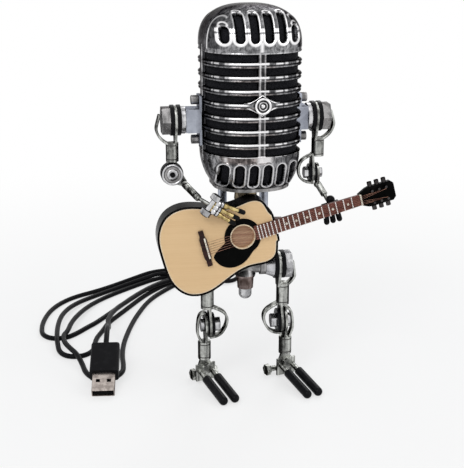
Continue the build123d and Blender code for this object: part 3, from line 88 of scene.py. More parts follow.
# Out of the gland and down, then turn after turn of the hank, then up to the plug.
LEAD = laid(
    (0, 19, 64.9), (0, 34, 64.9), (-2.4, 50, 58.6), (-5.5, 66, 45.5), (-7.6, 79, 30), (-7.4, 90, 15.5),
    (-5.2, 103, 5.2), (-2.2, 118), (-0.8, 133), (-0.8, 148),
)
HANK = laid(
    (0.2, 157), (1, 167), (-2.5, 175, 1.7), (-10.5, 176.5, 3.2), (-17.5, 171, 5.2), (-25, 168.5, 5.8),
    (-35.6, 169.1, 4.8), (-47.6, 163.3, 3.2), (-59.3, 157.1, 1.8), (-69.1, 150.1), (-77.7, 144.3),
    (-86.2, 139.5), (-94.1, 132.9), (-101, 123.7), (-106.2, 111.8), (-109.4, 97), (-110.2, 86),
    (-109.6, 76), (-104, 69.2), (-95.4, 69), (-88.6, 75.4), (-82.4, 83.6), (-77.4, 89.2), (-69, 102),
    (-61.1, 114.5), (-52.9, 127.7, 1.6), (-44.6, 137.4, 2.4), (-35.3, 145.9, 3.4), (-20, 157.5, 4),
    (-12, 158.6, 4.1), (-3, 160, 4.2), (5, 159.5, 3.2), (12, 162, 1.8), (17.5, 168.5), (17, 178),
    (10.5, 184.5, 1.7), (1.5, 184, 3.4), (-4.5, 177.5, 5.2), (-7.5, 169, 6.6), (-12.5, 161.5, 6.9),
    (-20, 158.5, 6.6), (-30.8, 164.4, 5.2), (-40, 159.9, 4), (-49.9, 155.2, 2.8), (-59.8, 149.6, 1.8),
    (-68.6, 143.1), (-77.2, 135.7, 1.6), (-85.2, 126.6, 2.4), (-92.1, 114.7, 3.6), (-97, 101.5, 4.5),
    (-99.6, 88.7, 4.6), (-100.7, 74.9, 4.6), (-100.9, 62.4, 4.2), (-100.6, 58, 3.2), (-99.8, 48, 1.7),
    (-94.4, 41.2), (-86, 40.8), (-80.2, 47), (-79.3, 56), (-77.6, 66), (-73.8, 75.5), (-69.7, 88.2),
    (-62, 100.8), (-53.9, 114.3), (-45.4, 128.5), (-35.7, 141.7), (-21, 156.5), (-12, 159.6), (-3, 163),
    (5, 167, 1.6), (13, 168.5, 4), (21, 164.5, 3.6), (27.5, 169, 2.6), (28.5, 178, 1.8), (22, 185.5, 1.8),
    (13, 184, 4.2), (6, 177.5, 4.8), (1, 170, 4.8), (-5, 164, 4.4), (-12, 161.8, 4.1), (-21, 162, 3.8),
    (-33.1, 160, 2.8), (-43.1, 155.3, 1.8), (-54, 146.9), (-63.8, 138.4), (-73.4, 128.5, 1.6),
    (-81.5, 115, 2.6), (-88, 98.1, 4.2), (-92.3, 84.6, 4.6), (-94.5, 71.8, 4.6), (-97.2, 66, 4.6),
    (-96.8, 56, 4.6), (-93.6, 46.6, 4.6), (-89.6, 37.5, 4.4), (-87, 28, 2.2), (-85.6, 18), (-81, 9.6),
    (-71.8, 8), (-65.4, 15), (-64.4, 25), (-64.4, 35), (-63.6, 45), (-62, 56), (-59.6, 67), (-56.6, 79),
    (-52.8, 92), (-48.4, 104.5), (-43.5, 117), (-37, 129), (-28.5, 140), (-21, 149), (-12, 156.6),
    (-3, 155.5, 3.4), (5, 151, 4.2), (14, 148.5, 2), (22.5, 151.5, 1.6), (26.5, 159.5, 3.4),
    (24.5, 168.5, 6.4), (16, 172.5, 7.2), (8, 168, 6.4), (2, 160.5, 5.4), (-4.5, 155.2, 4.4),
    (-12, 154.6, 4.1), (-21, 152.5, 4.2), (-31, 146, 4.6), (-41, 135.5, 5), (-50, 123, 5),
    (-57.5, 110, 5.8), (-64, 97.5, 7.2),
)
TAIL = laid(
    (-70.3, 76, 9.4), (-70.3, 65.5, 9.4), (-70.7, 56.5, 10.9), (-71.5, 45.1, 17.8), (-72.5, 33.1, 19.4),
    (-73.8, 22.2, 15),
)


# ------------------------------------------------------------------ sizes and colours
class RobotLampSizes(bpy.types.PropertyGroup):
    """Sizes of what is added to the robot lamp's solids."""

    cord_diameter: FloatProperty(
        name="Cord diameter", description="Thickness of the USB cord", default=0.003, unit="LENGTH")
    cord_length: FloatProperty(
        name="Cord length", description="Whole length of the USB cord", default=1.5, unit="LENGTH")
    bead_height: FloatProperty(
        name="Bead height", description="How far the bead round each slot stands proud",
        default=0.00045, unit="LENGTH", precision=5)
    bead_width: FloatProperty(
        name="Bead width", description="Width of the bead round each slot",
        default=0.0013, unit="LENGTH", precision=5)
    rim_depth: FloatProperty(
        name="Rim depth", description="How deep the slots' rims turn in", default=0.0014, unit="LENGTH",
        precision=5)
    edge_break: FloatProperty(
        name="Edge break", description="Rounding of the fittings' sharp edges",
        default=0.00022, unit="LENGTH", precision=5)
    binding_width: FloatProperty(
        name="Binding width", description="Black binding round the soundboard", default=0.0011,
        unit="LENGTH", precision=5)
    fret_count: IntProperty(name="Frets", description="Number of frets on the neck", default=20)


class RobotLampColours(bpy.types.PropertyGroup):
    """Colours of the robot lamp's finishes."""

    silver: FloatVectorProperty(
        name="Silver", description="Cast and plated shell", subtype="COLOR", default=(0.66, 0.66, 0.68))
    # Also the colour that painted shade and painted reflection streaks take the cast shell towards.
    tarnish: FloatVectorProperty(
        name="Tarnish", description="Dull patches on the plated shell", subtype="COLOR",
        default=(0.10, 0.10, 0.11))
    zinc: FloatVectorProperty(
        name="Zinc", description="Crimped cable lugs", subtype="COLOR", default=(0.60, 0.61, 0.58))
    chrome: FloatVectorProperty(
        name="Chrome", description="Bolts and badge", subtype="COLOR", default=(0.74, 0.74, 0.75))
    brass: FloatVectorProperty(
        name="Brass", description="Fingers", subtype="COLOR", default=(0.80, 0.64, 0.30))
    old_brass: FloatVectorProperty(
        name="Old brass", description="Neck collar and switch", subtype="COLOR",
        default=(0.35, 0.29, 0.20))
    rubber: FloatVectorProperty(
        name="Rubber", description="Washers, toes and cord", subtype="COLOR",
        default=(0.004, 0.004, 0.005))
    spruce: FloatVectorProperty(
        name="Spruce", description="Soundboard", subtype="COLOR", default=(0.78, 0.55, 0.31))


def sizes():
    return bpy.context.scene.robot_lamp_sizes


def colours():
    return bpy.context.scene.robot_lamp_colours


# ------------------------------------------------------------------ shader maths
class Value:
    """A shader socket that takes part in sums, so that maths reads as maths."""

    def __init__(self, nodes, socket):
        self.nodes, self.socket = nodes, socket

    def maths(self, operation, *terms, **settings):
        return self.nodes.node("ShaderNodeMath", {"operation": operation, **settings},
                               dict(enumerate(terms)))

    def __add__(self, other):
        return self.maths("ADD", self, other)

    def __sub__(self, other):
        return self.maths("SUBTRACT", self, other)

    def __rsub__(self, other):
        return self.maths("SUBTRACT", other, self)

    def __mul__(self, other):
        return self.maths("MULTIPLY", self, other)

    def __truediv__(self, other):
        return self.maths("DIVIDE", self, other)

    def __rtruediv__(self, other):
        return self.maths("DIVIDE", other, self)

    def __pow__(self, other):
        return self.maths("POWER", self, other)

    def __rpow__(self, other):
        return self.maths("POWER", other, self)

    __radd__, __rmul__ = __add__, __mul__

    def held(self):
        """The value kept between 0 and 1."""
        return self.maths("ADD", self, 0.0, use_clamp=True)

    def span(self, low, high, to_low=0.0, to_high=1.0):
        """The value's range from low to high, eased onto another range."""
        return self.nodes.node("ShaderNodeMapRange", {"interpolation_type": "SMOOTHSTEP"}, {
            "Value": self, "From Min": low, "From Max": high, "To Min": to_low, "To Max": to_high})


class Nodes:
    """A node tree, and the way its nodes are made."""

    def __init__(self, tree):
        self.tree = tree

    def node(self, kind, settings=None, values=None, output=0):
        made = self.tree.nodes.new(kind)
        for name, value in (settings or {}).items():
            setattr(made, name, value)
        self.fill(made, values or {})
        return Value(self, made.outputs[output])

    def fill(self, made, values):
        for name, value in values.items():
            socket = made.inputs[name]
            if isinstance(value, Value):
                self.tree.links.new(value.socket, socket)
            elif socket.type == "RGBA" and len(value) == 3:
                socket.default_value = (*value, 1.0)
            else:
                socket.default_value = value

    def seen(self):
        """One where the eye looks, also by way of a glossy or a clear surface, and nothing elsewhere."""
        eye, sheen, through = (self.node("ShaderNodeLightPath", output=ray) for ray in (
            "Is Camera Ray", "Is Glossy Ray", "Is Transmission Ray"))
        return eye.maths("MAXIMUM", eye.maths("MAXIMUM", eye, sheen), through)


class Finish(Nodes):
    """One procedural material."""

    def __init__(self, name, sockets=None):
        self.material = bpy.data.materials.new(name)
        self.material.use_nodes = True
        super().__init__(self.material.node_tree)
        self.shader = self.tree.nodes["Principled BSDF"]
        self.place = self.node("ShaderNodeTexCoord", output="Object")
        self.feed(sockets or {})

    def feed(self, values):
        self.fill(self.shader, values)
        return self

    def dress(self, colour, rough):
        """Feeds the colour, and the roughness kept between 0 and 1."""
        return self.feed({"Base Color": colour, "Roughness": rough.held()})

    def noise(self, scale, detail=3.0, rough=0.55, along=None, distortion=0.0):
        return self.node("ShaderNodeTexNoise", None, {
            "Vector": along or self.place, "Scale": scale, "Detail": detail, "Roughness": rough,
            "Distortion": distortion})

    def stretched(self, x, y, z):
        """Object coordinates scaled by axis."""
        return self.node("ShaderNodeMapping", None, {"Vector": self.place, "Scale": (x, y, z)})

    def attribute(self, name):
        """A number that the mesh's points carry."""
        return self.node("ShaderNodeAttribute", {"attribute_name": name}, None, "Fac")

    def mix(self, factor, first, second):
        return self.node("ShaderNodeMix", {"data_type": "RGBA"}, {0: factor, 6: first, 7: second}, 2)

    def bump(self, height, distance, strength=1.0):
        normal = self.node("ShaderNodeBump", None, {
            "Height": height, "Distance": distance, "Strength": strength})
        return self.feed({"Normal": normal})


EDGE_TINT = (0.27, 0.265, 0.265)                  # keeps grazing metal dark
# Of what the head's points carry: the first is tone with painted shade in it, the second a painted highlight,
# the third a warm tint.
PAINT = ("tone", "shine", "warm")                # what the head's points carry for its finish


def metal(name, shade, dull, rough, patch=160.0, contrast=0.5, streak=(260.0, 260.0, 40.0), depth=0.00003,
          turned=0.45):
    """Plated or cast metal: broad dull patches, fine grain and hairline scratches, with vertical streaks of
    painted reflection and painted shade on faces that turn sideways or down.
    """
    finish = Finish(name, {"Metallic": 1.0, "Specular Tint": EDGE_TINT})
    broad = finish.noise(patch, 4.0, 0.6, distortion=0.8).span(0.36, 0.68)
    # Streaks stretched along the height: a painted reflection.
    painted_reflection_streaks = finish.noise(1.0, 2.0, 0.5, finish.stretched(*streak), distortion=0.4).span(0.40, 0.62)
    fine = finish.noise(1300.0, 2.0, 0.5)
    hair = finish.noise(1.0, 2.0, 0.7, finish.stretched(5200.0, 5200.0, 300.0)).span(0.58, 0.74)
    # Painted shade: darker where the points face sideways or down; turned sets how strong it is.
    painted_side_shade = finish.attribute("away").span(0.45, 0.98) * turned
    # Wear and painted light together take the colour towards the dull one.
    wear_and_painted_light = (broad * 0.35 + painted_reflection_streaks * 0.65) * contrast + fine * 0.10 + hair * 0.08 + painted_side_shade
    finish.dress(finish.mix(wear_and_painted_light.held(), shade, dull),
                 broad * 0.12 + fine * 0.06 + hair * 0.08 + rough)
    return finish.bump(fine * 0.6 + hair * 0.4 + broad * 0.5, depth)


def make_head_silver():
    """Plated shell: painted highlights on the beads, painted shade in the grooves and rims, mottled panels.
    """
    finish = Finish("head_silver", {"Metallic": 1.0, "Specular Tint": EDGE_TINT})
    tone, shine, warm = (finish.attribute(name) for name in PAINT)
    broad = finish.noise(230.0, 5.0, 0.66, distortion=1.6)
    streak = finish.noise(1.0, 3.0, 0.6, finish.stretched(1100.0, 1100.0, 160.0))
    fine = finish.noise(1500.0, 2.0, 0.5)
    mottle = broad.span(0.38, 0.62) * 0.95 + streak.span(0.38, 0.64) * 0.5 + 0.24
    # The tone holds painted shade in grooves and rims besides the shell's own tone.
    grey = (tone * mottle).held()
    cool = finish.mix(grey, (0.008, 0.008, 0.010), colours().silver)
    brown = finish.mix(grey, (0.010, 0.008, 0.008), (0.92, 0.78, 0.74))
    body = finish.mix(warm, cool, brown)
    # Where the painted highlight is, the colour goes nearly to white.
    painted_highlight_share = (shine * (fine * 0.3 + 0.85)).held()
    finish.dress(finish.mix(painted_highlight_share, body, (0.97, 0.96, 0.97)),
                 broad * 0.16 + fine * 0.06 + 0.10)
    return finish.bump(fine * 0.3 + broad * 0.7, 0.00004)


def make_foam():
    """Open foam: small dark cells."""
    finish = Finish("black_foam", {"Specular IOR Level": 0.08})
    cells = finish.node("ShaderNodeTexVoronoi", None, {"Vector": finish.place, "Scale": 1500.0})
    tone = finish.noise(260.0, 3.0, 0.6)
    finish.dress(finish.mix(cells.span(0.1, 0.6), (0.002, 0.002, 0.003), (0.014, 0.014, 0.017)),
                 tone * 0.2 + 0.75)
    return finish.bump(cells + tone * 0.5, 0.0003)


def polymer(name, shade, rough, gloss=0.2, grain=1400.0, depth=0.00004, wear=0.5):
    """Rubber or moulded plastic: fine grain, rubbed and dusty patches."""
    finish = Finish(name, {"Specular IOR Level": gloss})
    rubbed = finish.noise(260.0, 4.0, 0.6).span(0.50, 0.78)
    fine = finish.noise(grain, 3.0, 0.6)
    lighter = tuple(value * 2.0 + 0.012 for value in shade)
    finish.dress(finish.mix((rubbed * wear + fine * 0.12).held(), shade, lighter),
                 fine * 0.12 + rubbed * 0.14 + rough)
    return finish.bump(fine, depth)


def timber(name, dark, light, rings, rough, gloss=0.3, figure=1.0):
    """Wood with its grain along the neck, under lacquer."""
    finish = Finish(name, {"Specular IOR Level": gloss})
    broad, narrow = (finish.node("ShaderNodeMapping", None, {
        "Vector": finish.place, "Rotation": (0.0, GUITAR_TILT, 0.0), "Scale": scale})
        for scale in ((9.0, 60.0, rings), (22.0, 300.0, rings * 3.2)))
    grain = finish.noise(1.0, 5.0, 0.65, broad, distortion=0.25)
    lines = finish.noise(1.0, 2.0, 0.5, narrow).span(0.35, 0.7)
    cloud = finish.noise(45.0, 3.0, 0.5)
    shade = (grain.span(0.3, 0.7) * 0.45 + lines * 0.3 + cloud * 0.25) * figure
    finish.dress(finish.mix(shade.held(), light, dark), lines * 0.08 + cloud * 0.08 + rough)
    return finish.bump(lines * 0.7 + grain * 0.3, 0.00003)


def make_lacquer():
    """Black gloss lacquer with a faint orange peel and dust."""
    finish = Finish("guitar_lacquer", {"Specular IOR Level": 0.015})
    peel = finish.noise(700.0, 2.0, 0.5)
    cloud = finish.noise(60.0, 3.0, 0.6).span(0.4, 0.7)
    finish.dress(finish.mix(cloud, (0.002, 0.002, 0.002), (0.010, 0.009, 0.009)),
                 cloud * 0.10 + peel * 0.06 + 0.14)
    return finish.bump(peel, 0.00002)


def make_bone():
    """Off-white bone with faint streaks."""
    finish = Finish("bone_white")
    streak = finish.noise(1.0, 3.0, 0.6, finish.stretched(300.0, 300.0, 2400.0)).span(0.4, 0.7)
    finish.dress(finish.mix(streak, (0.86, 0.82, 0.72), (0.70, 0.62, 0.48)),
                 streak * 0.15 + 0.25)
    return finish.bump(streak, 0.00002)


def make_board():
    """White solder mask with a faint weave."""
    finish = Finish("board_mask", {"Coat Weight": 0.3})
    weave = finish.node("ShaderNodeTexBrick", None, {
        "Vector": finish.place, "Scale": 900.0, "Color1": (0.82, 0.82, 0.80), "Color2": (0.76, 0.76, 0.73),
        "Mortar": (0.70, 0.70, 0.66)})
    finish.dress(weave, finish.noise(500.0) * 0.15 + 0.3)
    return finish.bump(finish.noise(1200.0), 0.00002)


def make_finishes():
    """Every finish by the name of the record's material slot, and those of the added pieces."""
    shade = colours()
    made = {
        "tinned_metal": metal("cast_silver", shade.silver, shade.tarnish, 0.20),
        "zinc_metal": metal("zinc_lug", shade.zinc, (0.022, 0.022, 0.02), 0.22, 380.0, 0.85,
                            (420.0, 420.0, 22.0), turned=0.62),
        "chrome_metal": metal("chrome_plate", shade.chrome, (0.13, 0.13, 0.14), 0.12, 260.0, 0.75,
                              (300.0, 300.0, 120.0)),
        "bracket_blue": metal("bracket_zinc", (0.47, 0.50, 0.57), (0.20, 0.21, 0.25), 0.30, 200.0, 0.6),
        "nickel": metal("nickel_shell", (0.56, 0.50, 0.46), (0.17, 0.14, 0.13), 0.22, 190.0, 0.8),
        "grey_metal": metal("grey_metal", (0.42, 0.41, 0.41), (0.08, 0.08, 0.08), 0.24, 220.0, 0.8),
        "switch_bronze": metal("switch_bronze", (0.42, 0.34, 0.32), (0.06, 0.04, 0.035), 0.30, 260.0, 0.9),
        "fret_metal": metal("fret_metal", (0.92, 0.90, 0.88), (0.62, 0.58, 0.56), 0.20, 400.0, 0.5),
        "smoked_metal": metal("smoked_metal", (0.07, 0.065, 0.065), (0.015, 0.014, 0.014), 0.16, 400.0),
        "bronze": metal("string_bronze", (0.40, 0.22, 0.16), (0.12, 0.05, 0.04), 0.25, 300.0, 0.8),
        "brass": metal("finger_brass", shade.brass, (0.16, 0.10, 0.03), 0.20, 420.0, 0.8),
        "aged_brass": metal("old_brass", shade.old_brass, (0.05, 0.04, 0.03), 0.30, 300.0, 0.9),
        "black_rubber": polymer("rubber_black", shade.rubber, 0.30, 0.07),
        "black_plastic": polymer("plastic_black", (0.004, 0.004, 0.005), 0.38, 0.06, 2200.0),
        "cord_black": polymer("cord_sheath", shade.rubber, 0.26, 0.05, 1800.0, 0.00003, 0.25),
        "foam": make_foam(),
        "board_white": make_board(),
        "spruce": timber("spruce_top", (0.66, 0.43, 0.22), shade.spruce, 420.0, 0.30, 0.2, 0.55),
        "hole_wood": timber("hole_wood", (0.24, 0.12, 0.075), (0.62, 0.42, 0.27), 500.0, 0.5, 0.1),
        "guitar_black": make_lacquer(),
        "neck_wood": timber("neck_wood", (0.030, 0.010, 0.008), (0.13, 0.045, 0.030), 260.0, 0.32),
        "rosewood": timber("rosewood", (0.035, 0.012, 0.010), (0.22, 0.075, 0.057), 700.0, 0.36, 0.15),
        "ebony": timber("bridge_wood", (0.006, 0.004, 0.004), (0.050, 0.020, 0.017), 700.0, 0.36, 0.15),
        "bone": make_bone(),
        "pickguard": polymer("pickguard_black", (0.002, 0.002, 0.002), 0.12, 0.015, 900.0, 0.00001, 0.1),
        "head": make_head_silver(),
        "purfling": timber("purfling", (0.62, 0.44, 0.26), (0.88, 0.78, 0.60), 900.0, 0.35),
    }
    return {name: finish.material for name, finish in made.items()}


# ------------------------------------------------------------------ pieces
FINISHES = {}
# Painted shade on metal: how much a face that looks down counts, beside one that looks sideways.
UNDERSIDE = 0.8                                   # how far a face counts as turned away when it looks down


def finish_of(name):
    """The material of a finish. All of them are made at the first call."""
    if not FINISHES:
        FINISHES.update(make_finishes())
    return FINISHES[name]


def add_object(name, data):
    made = bpy.data.objects.new(name, data)
    bpy.context.scene.collection.objects.link(made)
    return made


def add_piece(name, shape, finishes, body, slot, *nodes, smooth=35.0):
    """An object from a bmesh or a curve that rides on a body, with the CAD nodes it replaces; the slot
    argument is not used.
    """
    if isinstance(shape, bmesh.types.BMesh):
        shape.normal_update()
        # Painted shade: each point carries how far it faces sideways or down, and metal finishes are darker
        # there.
        away = shape.verts.layers.float.new("away")
        for vert in shape.verts:
            vert[away] = max(abs(vert.normal.x), -UNDERSIDE * vert.normal.z)
        data = bpy.data.meshes.new(name)
        shape.to_mesh(data)
        shape.free()
        data.shade_smooth()
        if smooth:
            data.set_sharp_from_angle(angle=math.radians(smooth))
    else:
        data = shape
    piece = add_object(name, data)
    for finish in finishes:
        data.materials.append(finish_of(finish))
    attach(piece, body)
    if nodes:
        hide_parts(*nodes)
    return piece


def body_of(node):
    return frame["nodes"][node]["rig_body"]


def lathe(profile, origin, axis, steps=64, bm=None, finish=0):
    """A turned form: its profile is pairs of radius and height along the axis, in millimetres."""
    if bm is None:
        bm = bmesh.new()
    before = set(bm.faces)
    turn = Vector(axis).to_track_quat("Z", "Y").to_matrix()
    rim = [bm.verts.new(origin + turn @ Vector((radius, 0.0, height)) * MM) for radius, height in profile]
    edges = [bm.edges.new(pair) for pair in zip(rim, rim[1:])]
    bmesh.ops.spin(bm, geom=rim + edges, cent=origin, axis=axis, angle=2 * math.pi,
                   steps=steps, use_merge=True)
    for face in set(bm.faces) - before:
        face.material_index = finish
    bmesh.ops.remove_doubles(bm, verts=bm.verts, dist=1e-6)
    bmesh.ops.recalc_face_normals(bm, faces=bm.faces)
    return bm


def band(bm, origin, axis, inner, outer, start, end, finish=0):
    """A rounded ring round an axis, between two ways along it."""
    edge = min((end - start) * 0.3, outer - inner)        # how far its outer edges are rounded
    return lathe(((inner, start), (outer - edge * 0.4, start), (outer, start + edge), (outer, end - edge),
                  (outer - edge * 0.4, end), (inner, end)), origin, axis, 40, bm, finish)


def copied(node):
    """A CAD node's mesh with its doubled points merged and its flat faces whole."""
    bm = bmesh.new()
    bm.from_mesh(frame["nodes"][node].data)
    bmesh.ops.remove_doubles(bm, verts=bm.verts, dist=1e-6)
    bmesh.ops.dissolve_limit(bm, angle_limit=math.radians(1.0), verts=bm.verts, edges=bm.edges)
    return bm


def bevel(bm, edges, width, segments=2):
    bmesh.ops.bevel(bm, geom=edges, offset=width, offset_type="OFFSET", segments=segments, profile=0.5,
                    affect="EDGES", clamp_overlap=True, material=-1)


def soften_edges(bm, width):
    """Rounds the edges between faces that meet at more than a slight angle."""
    bevel(bm, [e for e in bm.edges if e.is_manifold and e.calc_face_angle(0.0) > math.radians(38)], width)


def points_of(geometry):
    return [item for item in geometry if isinstance(item, bmesh.types.BMVert)]


def off_way(point, way):
    """How far a point in millimetres lies from a line of points, seen from the front."""
    flat, nearest = Vector((point.x, 0.0, point.z)), 99.0
    for start, end in zip(way, way[1:]):
        share = intersect_point_line(flat, start, end)[1]
        nearest = min(nearest, (flat - start.lerp(end, min(max(share, 0.0), 1.0))).length)
    return nearest


def cut_strap(bm, way, width):
    """Takes the faces of a lug's angular strap away."""
    strap = [face for face in bm.faces if all(
        off_way((vert.co - AXIS) / MM, way) < 0.95 and abs(vert.co.y - AXIS.y) < (width / 2 + 0.05) * MM
        for vert in face.verts)]
    bmesh.ops.delete(bm, geom=strap, context="FACES")


def smooth_way(points, count=10):
    """A smooth way from the first point to the last that touches the middle of each leg between."""
    way, last = [points[0]], len(points) - 2
    for n in range(1, last + 1):
        start = points[0] if n == 1 else (points[n - 1] + points[n]) / 2
        end = points[-1] if n == last else (points[n] + points[n + 1]) / 2
        way += [start.lerp(points[n], k / count).lerp(points[n].lerp(end, k / count), k / count)
                for k in range(1, count + 1)]
    return way


def ribbon(bm, points, width, thick):
    """A smoothly bent strap with rounded edges, its width along Y."""
    before = set(bm.verts)
    line = [bm.verts.new(spot(*place) - Vector((0, width / 2, 0)) * MM) for place in smooth_way(points)]
    edges = [bm.edges.new(pair) for pair in zip(line, line[1:])]
    grown = bmesh.ops.extrude_edge_only(bm, edges=edges)["geom"]
    bmesh.ops.translate(bm, verts=points_of(grown), vec=(0, width * MM, 0))
    bm.normal_update()
    faces = [g for g in grown if isinstance(g, bmesh.types.BMFace)]
    for vert in set(bm.verts) - before:
        vert.co += vert.normal * thick / 2 * MM
    bmesh.ops.solidify(bm, geom=faces, thickness=thick * MM)
    added = {face for vert in set(bm.verts) - before for face in vert.link_faces}
    bmesh.ops.recalc_face_normals(bm, faces=list(added))
    sharp = {edge for face in added for edge in face.edges if edge.calc_face_angle(0.0) > 1.2}
    bevel(bm, list(sharp), 0.36 * MM)


SIDES = ("right", "left")
HIP_CUP_REACH = 14.86                             # how far out the hip cups go, clear of the rings
STRAP_THICK = 1.25


def sided(rows):
    """Each row of a table and its side: either side in turn where its names leave room for one."""
    for row in rows:
        for side in SIDES if "{}" in row[0] else ("",):
            yield side, [cell.format(side) if isinstance(cell, str) else cell for cell in row]


def soften(node, name, slot, width, finish=None):
    """A fitting with broken edges and smoothly bent straps, which stands for its CAD node."""
    bm = copied(node)
    side, _, limb = node.partition("_")
    straps = [(wide, [Vector((x if side == "left" else -x, 0.0, z)) for x, z in way])
              for wide, way in STRAPS.get(limb, ()) + STRAPS.get(node, ())]
    for wide, way in straps:
        cut_strap(bm, way, wide)
    if node == "hip_cups":
        for vert in bm.verts:
            across = vert.co.x - AXIS.x
            vert.co.x -= math.copysign(max(abs(across) - HIP_CUP_REACH * MM, 0.0), across)
    soften_edges(bm, width)
    for wide, way in straps:
        ribbon(bm, way, wide, STRAP_THICK)
    piece = add_piece(name, bm, [finish or slot], body_of(node), slot, node, smooth=50.0)
    piece.modifiers.new("Even normals", "WEIGHTED_NORMAL").keep_sharp = True


# ------------------------------------------------------------------ head shell
HEAD_SEAT = Matrix.Translation(spot(1.6, 0, 0)) @ Matrix.Rotation(math.radians(3.0), 4, "Z")
HALF_W, HALF_D, CORNER = 24.2, 26.0, 20.5
HEAD_BASE, CHIN_TOP, DOME_FOOT, HEAD_TOP = 111.6, 128.0, 180.0, 200.0
CHIN_HEIGHT, DOME_POWER = 27.5, 2.55
FLAT = HALF_W - CORNER                            # half of the flat front
QUARTER = CORNER * math.pi / 2
HALF_ROUND = 2 * FLAT + 2 * QUARTER + 2 * (HALF_D - CORNER)
ROW_TOP, ROWS = 178.0, 8
ROW_OPEN = 0.511                                  # the open share of a row's pitch
ROW_FOOT = CHIN_TOP + 1.48
ROW_PITCH = (ROW_TOP - ROW_FOOT) / (ROWS - 1 + ROW_OPEN)
ROW_MIDDLE = ROW_TOP - ROW_PITCH * ROW_OPEN / 2 - 0.45   # middle of the highest row
ROW_HALF = 1.88                                   # half height of a row between its worn rims
ROW_ROUND = 0.35                                  # rounding of a row's corners
SPINE_HALF, SLOT_END = 1.85, 38.6
BADGE_Z = 153.7


def outline_at(u):
    """Point of the head's plan outline at a way u from the middle of its front."""
    side = -1.0 if u < 0 else 1.0
    u = abs(u)
    if u <= FLAT:
        return side * u, -HALF_D
    if u <= FLAT + QUARTER:
        turn = (u - FLAT) / CORNER
        return side * (FLAT + CORNER * math.sin(turn)), -(HALF_D - CORNER) - CORNER * math.cos(turn)
    return side * HALF_W, -(HALF_D - CORNER) + (u - FLAT - QUARTER)


def dome_table(count=400):
    """Ways up the dome's curve, with the share of the plan and the height at each."""
    table, way, last = [], 0.0, None
    for k in range(count + 1):
        turn = math.pi / 2 * k / count
        share = max(math.cos(turn), 0.0) ** (2 / DOME_POWER)
        rise = math.sin(turn) ** (2 / DOME_POWER) * (HEAD_TOP - DOME_FOOT)
        here = Vector((share * HALF_D, rise))
        way += (here - last).length if last else 0.0
        last = here
        table.append((way, share, DOME_FOOT + rise))
    return table


DOME = dome_table()
DOME_WAY = DOME[-1][0]
CHIN_TURN = math.asin((CHIN_TOP - HEAD_BASE) / CHIN_HEIGHT)
CHIN_WAY = CHIN_TURN * (CHIN_HEIGHT + HALF_D) / 2


def level_at(s):
    """Share of the plan and height at a way s up the head, which is the height between chin and dome."""
    if s < CHIN_TOP:
        turn = CHIN_TURN * (CHIN_TOP - s) / CHIN_WAY
        return math.cos(turn), CHIN_TOP - CHIN_HEIGHT * math.sin(turn)
    if s <= DOME_FOOT:
        return 1.0, s
    way = min(s - DOME_FOOT, DOME_WAY)
    low, high = 0, len(DOME) - 1
    while high - low > 1:
        middle = (low + high) // 2
        low, high = (middle, high) if DOME[middle][0] <= way else (low, middle)
    (w0, s0, z0), (w1, s1, z1) = DOME[low], DOME[high]
    part = (way - w0) / max(w1 - w0, 1e-9)
    return s0 + (s1 - s0) * part, z0 + (z1 - z0) * part


def dome_way(z):
    """Way up the head at a height on the dome."""
    return DOME_FOOT + next(way for way, share, height in DOME if height >= z)


def capsule_gap(x, s, centre, low, high, radius):
    """How far a point lies outside an upright slot with round ends."""
    along = min(max(s, low + radius), high - radius)
    return math.hypot(x - centre, s - along) - radius


DOME_LOW, DOME_HIGH, DOME_HIGH_OUTER = 182.8, 196.4, 190.4
SLOT_RADIUS = 2.1
SLOTS_X = [6.9 * (n - 2.5) for n in range(6)]


def flare_half(u):
    """Half height of the badge's flare."""
    return 1.58 + 3.7 * max(0.0, 1 - abs(u) / 7.6) ** 1.5


def slot_gap(u, s, x, front):
    """How far a point of the shell lies outside the nearest slot, less than nothing inside one."""
    gap = 9.0
    if ROW_FOOT - 3 < s < ROW_TOP + 3:
        row = round((ROW_MIDDLE - s) / ROW_PITCH)
        for n in (row - 1, row, row + 1):
            if 0 <= n < ROWS:
                dz = abs(s - (ROW_MIDDLE - n * ROW_PITCH)) - ROW_HALF
                du = max(SPINE_HALF - abs(u), abs(u) - SLOT_END)
                ax, az = du + ROW_ROUND, dz + ROW_ROUND
                here = min(max(ax, az), 0.0) + math.hypot(max(ax, 0.0), max(az, 0.0)) - ROW_ROUND
                gap = min(gap, here)
        if front and abs(u) < 9 and abs(s - BADGE_Z) < 8:
            gap = max(gap, flare_half(u) - abs(s - BADGE_Z))
    if s > DOME_FOOT - 2:
        for n, centre in enumerate(SLOTS_X):
            high = DOME_S_OUTER if n in (0, 5) else DOME_S_HIGH
            gap = min(gap, capsule_gap(x, s, centre, DOME_S_LOW, high, SLOT_RADIUS))
    if s < CHIN_TOP + 1:
        for centre in SLOTS_X:
            gap = min(gap, capsule_gap(x, s, centre, CHIN_S_LOW, CHIN_S_HIGH, SLOT_RADIUS))
    return gap


DOME_S_LOW, DOME_S_HIGH, DOME_S_OUTER = (dome_way(z) for z in (DOME_LOW, DOME_HIGH, DOME_HIGH_OUTER))
LIP_BREAK = dome_way(187.4)
CHIN_S_LOW = CHIN_TOP - CHIN_WAY * math.asin((CHIN_TOP - 113.2) / CHIN_HEIGHT) / CHIN_TURN
CHIN_S_HIGH = CHIN_TOP - CHIN_WAY * math.asin((CHIN_TOP - 124.6) / CHIN_HEIGHT) / CHIN_TURN


def ease(value):
    value = min(max(value, 0.0), 1.0)
    return value * value * (3 - 2 * value)


